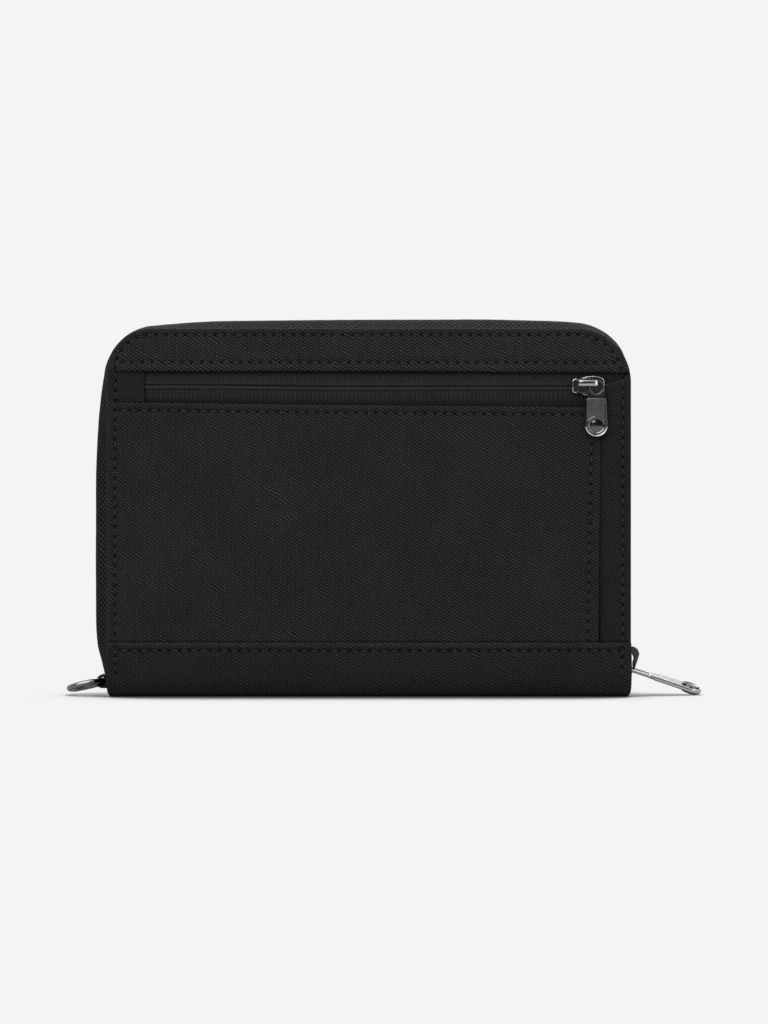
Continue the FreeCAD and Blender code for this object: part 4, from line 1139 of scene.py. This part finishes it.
def build_gutter(side, cover):
    """The lining across the spine: one half runs from the spine's middle up onto a cover's lining."""
    floor = cad_mm("spine_lining")[1][2]
    face = abs(cad_mm(cover + "_lining")[1 if side < 0 else 0][1]) - 0.08
    bend, low = 2.4, floor - 0.05
    profile = np.vstack([stack(np.linspace(0.02, face - bend, 10), low),
                         arc(face - bend, low + bend, bend, -PI / 2, 0, 10)[1:],
                         stack(face, np.linspace(floor + bend + 0.3, 9.5, 8))])
    x, index = grid(lines_between(-67.5, 67.5, 1.4, 0.5), np.arange(len(profile)))
    normal = normals(profile)[index]
    upper = profile[index] + normal * (0.08 * ripple(x, index * 1.0, 90 + side, 21))[..., None]
    outer, inner = (stack(x, side * f[..., 0], f[..., 1]) for f in (upper, upper - normal * 0.22))
    body = ("spine", cover + "_cover", (0, side * (face - 3.2) * MM, floor * MM),
            (0, side * face * MM, (floor + 3.0) * MM))
    sheet(cover + "_gutter_lining", outer, inner, LINING, body, "lining",
          *(("spine_lining",) if side < 0 else ()), uv=stack(x, run_along(profile)[index]))


def build_sleeve():
    """The passport sleeve: a front panel with a bound top edge and thumb notch, gusseted at its sides."""
    (_, root, bottom), (half, face, top) = cad_mm("passport_sleeve")
    notch, hem = 11.0, 2.8

    def edge(x):
        return top - np.sqrt(np.maximum(notch**2 - np.square(x), 0))

    def belly(x, z):
        swelling = np.sin(PI * np.clip((x + half) / (2 * half), 0, 1)) * smooth((z - bottom) / 20)
        return 0.22 * swelling + 0.06 * ripple(x, z, 91, 24)

    xs = lines_between(-half, half, 1.1, 0.35, focus=(-63.5, 63.5, -notch, notch), reach=1.0)
    height = top - bottom
    x, share = grid(xs, lines_between(0, height, 1.1, 0.35, focus=(height - 3.2,)) / height)
    z = bottom + share * (edge(x) - bottom)
    side_gap = half - np.abs(x)
    folded = np.maximum((1 - smooth(side_gap / 1.6)) ** 2, (1 - smooth((z - bottom) / 1.6)) ** 2)
    y = face - (face - root - 0.25) * folded - 0.32 + belly(x, z)
    y -= 0.12 * (bell((edge(x) - z - 3.0) / 0.5) + bell((side_gap - hem) / 0.5))
    inner = stack(x * 0.992, np.maximum(y - 0.4, root + 0.01), z + 0.35 * (1 - smooth((z - bottom) / 1.2)))
    inner[:, 0, 1] = y[:, 0]
    sheet("passport_sleeve_cloth", stack(x, y, z), inner, POCKET_CLOTH, "back_cover", "lining",
          "passport_sleeve")
    sewn = [(hem - half, top - 2.5), (hem - half, bottom + hem), (half - hem, bottom + hem),
            (half - hem, top - 2.5)]
    stitch_piece("sleeve_stitches", [Seam(sewn[k:k + 2], pitch=2.6) for k in range(3)],
                 lambda x, z: face - 0.42 + belly(x, z), 1, "back_cover", radius=0.14, thread=INNER_THREAD)

    line = np.linspace(-half + 1.4, half - 1.4, 240)
    path, _ = resample(stack(line, np.interp(line, xs, y[:, -1]) - 0.2, edge(line) + 0.05), 0.7)
    a = turns(16)
    new_piece("sleeve_binding", swept(path, stack(np.cos(a), 0.36 * np.sin(a))), BINDING, "back_cover",
              "lining", uv=stack(np.repeat(path[:, 0], 16), np.tile(a, len(path))))


def build_card_pockets():
    for k in range(1, 5):
        node = f"card_pocket_{k}"
        low, high = cad_mm(node)
        half, shift = (high[0] - low[0]) / 2, (high[0] + low[0]) / 2
        face, back, top, hem, side_hem = low[1], high[1], high[2], 2.6, 1.6
        x, z = grid(lines_between(-half, half, 1.2, 0.35, focus=(side_hem - half, half - side_hem)),
                    lines_between(low[2], top, 1.2, 0.35, focus=(top - hem,)))
        edge, side_gap = top - z, half - np.abs(x)
        rim = np.minimum(side_gap, z - low[2])
        y = face + 0.08 + rolled(rim, 0.3) + rolled(edge, 0.2) - 0.07 * bell(edge - 1.2)
        y += 0.1 * (bell((edge - hem) / 0.4) + bell((side_gap - side_hem) / 0.4))
        y += 0.04 * ripple(x, z, 100 + k, 20)
        inner = stack(x + shift, np.where(rim < 1.0, back - 0.06, y + 0.34), z)
        sheet(f"card_pocket_cloth_{k}", stack(x + shift, y, z), inner, POCKET_CLOTH, "front_cover", "lining",
              node, uv=stack(x, z))
        seam = Seam([(low[0] + side_hem, top - hem), (high[0] - side_hem, top - hem)], pitch=2.4)
        stitch_piece(f"card_pocket_hem_{k}", [seam], flat_at(face + 0.1), -1, "front_cover", radius=0.13,
                     thread=INNER_THREAD)


# ---------------------------------------------------------------- front cover

front_seam = Seam(outline_arch(2.4, BAND_TOP - 0.5, step=0.5))


def front_surface(x, z):
    y = FRONT_FACE + front_puff(x, z) + cover_waves(x, z, 40) + 0.03
    return y - dent((front_seam,), x, z) - edge_relief(inside_depth(x, z), radius=0.55)


def build_front_panel():
    height = TOP - PANEL_LOW
    x, z = round_top_grid(outline_columns(0.0, 0.56, 56), PANEL_LOW, height, 0.66, 0.4,
                          focus=(height - EDGE,))
    sheet("front_panel_cloth", stack(x, front_surface(x, z), z), FRONT_FACE - 0.62, CLOTH, "front_cover",
          "outer_fabric", "front_panel", marks=seam_marks((front_seam,), x, z, shadow=band_shade(z)))


def build_padding():
    """The foam under the front panel, crowned with soft edges."""
    low, high = cad_mm("front_padding")
    inset = SIDE - high[0]
    x, z = round_top_grid(outline_columns(inset, 2.5, 18), low[2], high[2] - low[2], 2.4, 0.5, inset)
    depth = np.minimum(inside_depth(x, z, inset), z - low[2])
    y = high[1] - rolled(depth, 1.4) - 0.06 + 0.04 * ripple(x, z, 77, 12)
    sheet("front_foam_pad", stack(x, y, z), low[1], FOAM, "front_cover", "padding", "front_padding")


# ---------------------------------------------------------------- hardware

END = 3.2  # radius of the pulls' round ends
PLATE = 0.97  # top of a slider's outer plate, where its bridge stands


def blade_outline(start, reach, narrow):
    """A pull's outline, narrow at the start and widening to a round end; and the same without its start."""
    middle = reach - END
    slope = math.asin((END - narrow) / (middle - start))
    tip = arc(middle, 0, END, -PI / 2 - slope, PI / 2 + slope, 40)
    root = np.array([[start + 0.5, narrow], [start + 0.12, narrow - 0.14], [start, narrow - 0.5]])
    root = np.vstack([root, root[::-1] * [1, -1]])
    left = np.linspace(root[-1], tip[0], 12)[1:-1]
    right = np.linspace(tip[-1], root[0], 12)[1:-1]
    return np.vstack([tip, right, root, left]), np.vstack([left, tip, right])


def build_pull(body, place, eye, start, reach, narrow, thickness, boss, faces, metals):
    """A zip pull in its own frame, place: x to the tip, y across, z out of its shown face."""
    outline, edge = blade_outline(start, reach, narrow)
    half, middle = thickness / 2, reach - END
    plate = extruded(outline, -half + 0.12, half - 0.14, 0.12)
    new_piece(body + "_blade", in_frame(plate, *place), metals[0], body, "nickel", body + "_tab",
              uv=plate[0][:, [1, 0]], smooth_angle=35)
    path = at_level(drawn_in(resample(edge, 0.3)[0], 0.32))
    a = turns(12)
    rim = swept(path, stack(half * power(np.cos(a), 0.6), 0.36 * power(np.sin(a), 0.8)))
    metal(body + "_rim", in_frame(join_parts([rim, eye]), *place), metals[2], body)
    lip = swept(at_level(arc(middle, 0, 2.98, -1.4, 1.4, 36), half - 0.12), circle(0.26, 10))
    metal(body + "_lip", in_frame(lip, *place), POLISHED, body)
    discs = []
    for face in faces:
        verts, quads, caps = revolved([(r, z * face) for r, z in boss])
        discs.append((verts + [middle, 0, 0], quads, caps))
    metal(body + "_boss", in_frame(join_parts(discs), *place), metals[1], body, smooth_angle=35)


def round_eye(inside, wire, half):
    """A round eye of flattened wire about the pivot."""
    a = turns(12)
    section = stack(half * power(np.cos(a), 0.75), wire / 2 * power(np.sin(a), 0.75))
    return swept(at_level(circle(inside + wire / 2, 48)), section, closed=True)


def square_eye(inside, run, wire):
    """The long pull's eye: a straight bar across and two straight wires."""
    radius, corner = inside + wire / 2, 0.35
    upper = [(0, radius - corner), (0.1, radius - 0.1), (corner, radius)]
    upper += [(x, radius) for x in np.linspace(corner + 0.3, run + 1.2, 10)]
    bar = radius - corner - 0.3
    path = upper + [(x, -y) for x, y in reversed(upper)] + [(0, y) for y in np.linspace(-bar, bar, 8)]
    return swept(at_level(np.array(path)), circle(wire / 2, 12), closed=True)


def strap_piece(name, outline, half_width, origin, axes, body, node, material, bevel=0.28):
    """A bent strip of metal: outline (n, 2) in local x, z, extruded across y with rounded edges."""
    part = in_frame(on_edge(extruded(outline, -half_width, half_width, bevel)), origin, axes)
    metal(name, part, material, body, node, smooth_angle=42)


def corners_of(x0, x1, y0, y1):
    return [(x0, y0), (x1, y0), (x1, y1), (x0, y1)]


def rounded_polygon(points, radius):
    """A closed polygon with each corner replaced by a short curve."""
    points = np.asarray(points, float)
    out = []
    for a, b, c in zip(np.roll(points, 1, 0), points, np.roll(points, -1, 0)):
        before, after = np.linalg.norm(a - b), np.linalg.norm(c - b)
        reach = min(radius, before * 0.45, after * 0.45)
        p, q = b + (a - b) / before * reach, b + (c - b) / after * reach
        out += [(1 - t) ** 2 * p + 2 * t * (1 - t) * b + t * t * q for t in np.linspace(0, 1, 5)]
    return np.array(out)


def slider_cap(body, origin, axes, plates):
    """The slider: outer plate with raised shoulders, inner plate and flanges, and a bright bead round it."""
    half = 4.6
    lower = [(-half, -1.98), (-2.5, -1.98), (-0.6, -2.75), (2.2, -2.85), (half, -2.1)]
    outline = rounded_polygon(lower + [(x, -y) for x, y in reversed(lower)], 1.3)
    parts = [extruded(outline, 0.22, 0.78, 0.2), extruded(outline, -2.4, -1.78, 0.2)]
    for side in (-1, 1):
        flange = rounded_polygon(corners_of(-half + 0.15, half - 0.6, 1.6 * side, 1.95 * side), 0.15)
        shoulder = [(-3.5, 1.25), (1.5, 1.25), (1.5, 2.2), (-0.6, 2.35), (-3.5, 1.95)]
        shoulder = rounded_polygon([(x, y * side) for x, y in shoulder], 0.4)
        parts += [extruded(flange, -1.9, -0.85, 0.08), extruded(shoulder, 0.5, 1.3, 0.42)]
    metal(body + "_cap", in_frame(join_parts(parts), origin, axes), plates, body, body + "_body",
          smooth_angle=35)
    line = resample(np.vstack([outline, outline[:1]]), 0.2)[0][:-1]
    bead = swept(at_level(drawn_in(line, 0.2), 0.78), circle(0.17, 10), closed=True)
    metal(body + "_bead", in_frame(bead, origin, axes), POLISHED, body)


def build_pocket_slider():
    body = "pocket_slider"
    low, high = cad_mm(body + "_body")
    middle = (low[0] + high[0]) / 2
    origin = np.array([middle, cad_mm("pocket_tape_upper")[0][1], float(chain_line(middle))])
    axes = ((1, 0, 0), (0, 0, 1), (0, -1, 0))
    slider_cap(body, origin, axes, DARK_NICKEL)
    foot, crown, thick = PLATE, PLATE + 2.5, 0.9
    arch = rounded_polygon([(-3.0, foot), (-3.0, crown - 0.3), (-2.2, crown), (1.8, crown),
                            (2.6, crown - 0.35), (2.6, foot), (1.7, foot), (1.7, crown - thick), (-2.1, crown - thick),
                            (-2.1, foot)], 0.7)
    lifted = origin + [0, 0, 0.7]  # the pull hangs from the arch by the top of its eye
    strap_piece(body + "_arch", arch, 0.8, lifted, axes, body, body + "_bridge", POLISHED)
    spring = rounded_polygon([(-1.85, foot), (-1.85, foot + 0.5), (-1.6, foot + 0.68), (-0.85, foot + 0.6),
                              (-0.85, foot)], 0.2)
    strap_piece("pocket_lock_spring", spring, 0.42, origin, axes, body, body + "_lock_spring", DARK_NICKEL,
                bevel=0.08)
    boss = [(0.01, 0.74), (0.5, 0.73), (1.0, 0.69), (1.5, 0.61), (1.85, 0.55), (2.05, 0.56), (2.2, 0.66),
            (2.4, 0.72), (2.6, 0.66), (2.72, 0.45), (2.72, 0.2), (0.01, 0.2)]
    place = joint_mm("pocket_pull_swing"), ((0, 0, -1), (1, 0, 0), (0, -1, 0))
    build_pull("pocket_pull", place, round_eye(1.6, 0.72, 0.42), 3.0, 13.8, 2.68, 1.2, boss, (1,),
               (SHADED_BRUSHED, SHADED_BOSS_NICKEL, DARK_NICKEL))
    neck = np.vstack([[(0.7, 2.3), (3.2, 2.6), (3.2, -2.6), (0.7, -2.3)], arc(0, 0, 2.2, -1.25, 1.25, 20)])
    metal("pocket_pull_neck", in_frame(extruded(neck, -0.34, 0.3, 0.08), *place), DARK_NICKEL, "pocket_pull",
          smooth_angle=35)


def build_main_slider():
    body = "main_slider"
    low, high = cad_mm(body + "_body")
    origin = (TAPE_HIGH[0], 0, (low[2] + high[2]) / 2)
    axes = ((0, 0, 1), (0, -1, 0), (1, 0, 0))
    slider_cap(body, origin, axes, POLISHED)
    outline = [(-4.35, 0), (-4.35, 0.95), (-3.3, 1.75), (-0.4, 2.7), (1.3, 3.25), (2.5, 2.95), (3.45, 1.9),
               (3.65, 0), (2.1, 0), (2.0, 0.8), (0.2, 1.7), (-0.9, 1.3), (-3.55, 1.25), (-3.55, 0)]
    arch = rounded_polygon([(a, b + PLATE) for a, b in outline], 0.9)
    strap_piece(body + "_arch", arch, 1.0, origin, axes, body, body + "_bridge", DARK_NICKEL)
    droop, roll = math.radians(18), math.radians(9.5)  # the loose eye lets the pull lie a little twisted
    along = np.array([math.cos(droop), 0, -math.sin(droop)])
    flat = np.array([math.sin(droop), 0, math.cos(droop)])
    out = flat * math.cos(roll) + np.array([0, -1, 0]) * math.sin(roll)
    boss = [(0.01, 1.0), (1.75, 1.0), (1.95, 1.06), (2.1, 1.16), (2.35, 1.18), (2.6, 0.95), (2.75, 0.6),
            (2.75, 0.1), (0.01, 0.1)]
    place = joint_mm("main_pull_swing"), (along, np.cross(out, along), out)
    build_pull("main_pull", place, square_eye(1.35, 5.3, 1.0), 5.4, 21.1, 2.25, 1.3, boss, (1, -1),
               (BRUSHED, DARK_NICKEL, POLISHED))


def build_strap_ring():
    """An oval of wire that droops from its tab, a little twisted."""
    droop, twist = math.radians(13), math.radians(7)
    outward = np.array([-math.cos(droop), 0, -math.sin(droop)])
    beside = np.array([0, 1, 0]) * math.cos(twist) + np.cross(outward, (0, 1, 0)) * math.sin(twist)
    width, reach, wire, fullness = 5.7, 9.7, 0.85, 2 / 2.6
    a = np.linspace(0, 2 * PI, 240)
    x, y = reach / 2 * (1 - power(np.cos(a), fullness)), width * power(np.sin(a), fullness)
    points, _ = resample(joint_mm("strap_ring_swing") + x[:, None] * outward + y[:, None] * beside, 0.45)
    part = swept(points[:-1], circle(wire, 18), np.cross(outward, beside), closed=True)
    metal("strap_ring_wire", part, SHADED_RING_NICKEL, "strap_ring", "strap_ring", smooth_angle=60)


def build_ring_tab():
    """Webbing folded round the ring's bar and sewn into the spine."""
    x, _, z = joint_mm("strap_ring_swing")
    end, half, _ = cad_mm("ring_tab")[1]
    radius, tuck_half = 1.55, 1.3
    line = np.vstack([stack(np.linspace(end, x, 9)[:-1], z + radius), arc(x, z, radius, PI / 2, 1.5 * PI, 20),
                      stack(np.linspace(x, end, 9)[1:], z - radius)])
    across = np.linspace(-half, half, 15)
    thick = 0.38 * (1 - 0.35 * (np.abs(across) / half) ** 6)
    section = np.vstack([stack(thick, across), stack(-thick, across)[::-1]])
    outwards = stack(np.gradient(line[:, 1]), 0, -np.gradient(line[:, 0]))
    strap = swept(stack(line[:, 0], 0, line[:, 1]), section, outwards)
    tuck = np.vstack([arc(x, z, 0.95, 1.3, -1.3, 16), corners_of(x + 0.5, end, z - tuck_half, z + tuck_half)])
    block = on_edge(extruded(tuck, 0.1 - half, half - 0.1, 0.06))
    uv = np.vstack([stack(np.tile(section[:, 1], len(line)), np.repeat(run_along(line), len(section))),
                    block[0][:, [1, 0]]])
    new_piece("ring_tab_webbing", join_parts([strap, block]), WEBBING, "spine", "webbing", "ring_tab", uv=uv,
              smooth_angle=60)


# ---------------------------------------------------------------- seams as thread


def build_stitches():
    for name, seams, surface, *nodes in (
        ("edge_stitches_back", [left_seam], left_edge_surface, "back_edge_thread"),
        ("edge_stitches_side", [right_seam], column_surface),
        ("edge_stitches_top", [over_seam], strip_surface),
        ("strip_stitches", [strip_seam], strip_surface, "top_panel_thread"),
        ("pocket_stitches", [top_seam, fold_seam], pocket_surface, "pocket_panel_thread"),
    ):
        stitch_piece(name, seams, surface, -1, "back_cover", *nodes)
    for side, cover in COVERS:
        stitch_piece(cover + "_band_stitches", BAND_SEAMS,
                     lambda x, z: side * (OUTER_FACE + band_surface(x, z)), side, cover + "_cover",
                     cover + "_band_thread")
    stitch_piece("edge_stitches_front", [front_seam], front_surface, 1, "front_cover", "front_edge_thread")


def finish_cad_nodes():
    """Materials for the CAD nodes that stay in view or lie hidden between the cloth layers."""
    for name, node in frame["nodes"].items():
        if not node.hide_render:
            material = BOARD if "board" in name else COIL if "coil" in name else POLISHED
            node.data.materials.clear()
            node.data.materials.append(material)


# ---------------------------------------------------------------- stage

PALE = 0.905  # brightness of the floor and the background


def build_floor():
    """A pale floor that glows evenly, with a painted shadow only where the wallet closes it in."""
    bpy.ops.mesh.primitive_plane_add(size=12)
    floor = bpy.context.object
    floor.name = "floor"
    s = Shader("pale_floor")
    open_sky = s.node("AmbientOcclusion", "AO", {"Distance": 0.03}, samples=16)
    closed_in = ((open_sky - 0.5) / 0.2).math("MAXIMUM", 0.0)
    depth = s.parts(s.node("TexCoord", "Object"))[1]
    # Painted contact shadow from the ambient occlusion, stronger in front of the wallet than behind it.
    painted_shadow = (closed_in * closed_in).exp_of_minus() * depth.remap(-0.012, 0.006, 0.95, 0.5)
    seen = s.node("LightPath", "Is Camera Ray")
    value = (1.0 - painted_shadow) * PALE * seen.remap(0.0, 1.0, 0.55, 1.0)
    colour = s.node("CombineXYZ", 0, {"X": value, "Y": value, "Z": value})
    glow = s.node("Emission", 0, {"Color": colour})
    s.put(s.tree.nodes["Material Output"].inputs["Surface"], glow)
    floor.data.materials.append(s.material)


def build_world():
    """A plain background for the camera and a soft studio for the metal to mirror."""
    world = bpy.data.worlds.new("studio")
    bpy.context.scene.world = world
    world.use_nodes = True
    s = Nodes(world.node_tree)
    s.tree.nodes.clear()
    _, y, z = s.parts(s.node("TexCoord", "Generated"))
    ramp = s.add("ValToRGB", {"Fac": y.math("MULTIPLY_ADD", 0.45, z)})  # bright above and behind
    stops = ((0.05, (0.03, 0.03, 0.031)), (0.55, (1, 1, 1)))
    for stop, (position, colour) in zip(ramp.color_ramp.elements, stops):
        stop.position, stop.color = position, (*colour, 1.0)
    studio = s.node("Background", 0, {"Color": Value(s, ramp.outputs[0]), "Strength": 0.75})
    plain = s.node("Background", 0, {"Color": (PALE,) * 3})
    shown = s.node("MixShader", 0, {0: s.node("LightPath", "Is Camera Ray"), 1: studio, 2: plain})
    s.add("OutputWorld", {"Surface": shown})


def build_lights():
    for name, where, size, power_w in (
        ("key", (-0.35, -0.75, 0.75), (1.0, 1.0), 8.0),
        ("fill", (0.75, -0.55, 0.35), (0.8, 1.0), 2.8),
        ("behind", (0.1, 0.9, 0.7), (0.6, 0.4), 4.0),
    ):
        data = bpy.data.lights.new(name, "AREA")
        data.shape = "RECTANGLE"
        data.size, data.size_y = size
        data.energy = power_w
        lamp = bpy.data.objects.new(name, data)
        bpy.context.scene.collection.objects.link(lamp)
        lamp.location = where
        lamp.rotation_mode = "QUATERNION"
        lamp.rotation_quaternion = (Vector((0, 0, 0.05)) - Vector(where)).to_track_quat("-Z", "Y")
        lamp.visible_camera = False


def build_camera():
    scene = bpy.context.scene
    camera = bpy.data.objects.new("camera", bpy.data.cameras.new("camera"))
    scene.collection.objects.link(camera)
    camera.location = (0.0042, -0.809, 0.052)
    camera.rotation_euler = (PI / 2, 0, 0)
    camera.data.lens, camera.data.sensor_width, camera.data.clip_start = 100, 36, 0.01
    scene.camera = camera
    scene.view_settings.view_transform = "Standard"


build_pocket_panel()
build_side_panel()
build_top_strip()
build_end_patch()
build_pocket_zip()
for builder in (build_gusset, build_band):
    for cover_side, cover_name in COVERS:
        builder(cover_side, cover_name)
build_linings()
for cover_side, cover_name in COVERS:
    build_gutter(cover_side, cover_name)
build_sleeve()
build_card_pockets()
build_front_panel()
build_padding()
build_pocket_slider()
build_main_slider()
build_strap_ring()
build_ring_tab()
build_stitches()
finish_cad_nodes()
build_floor()
build_world()
build_lights()
build_camera()
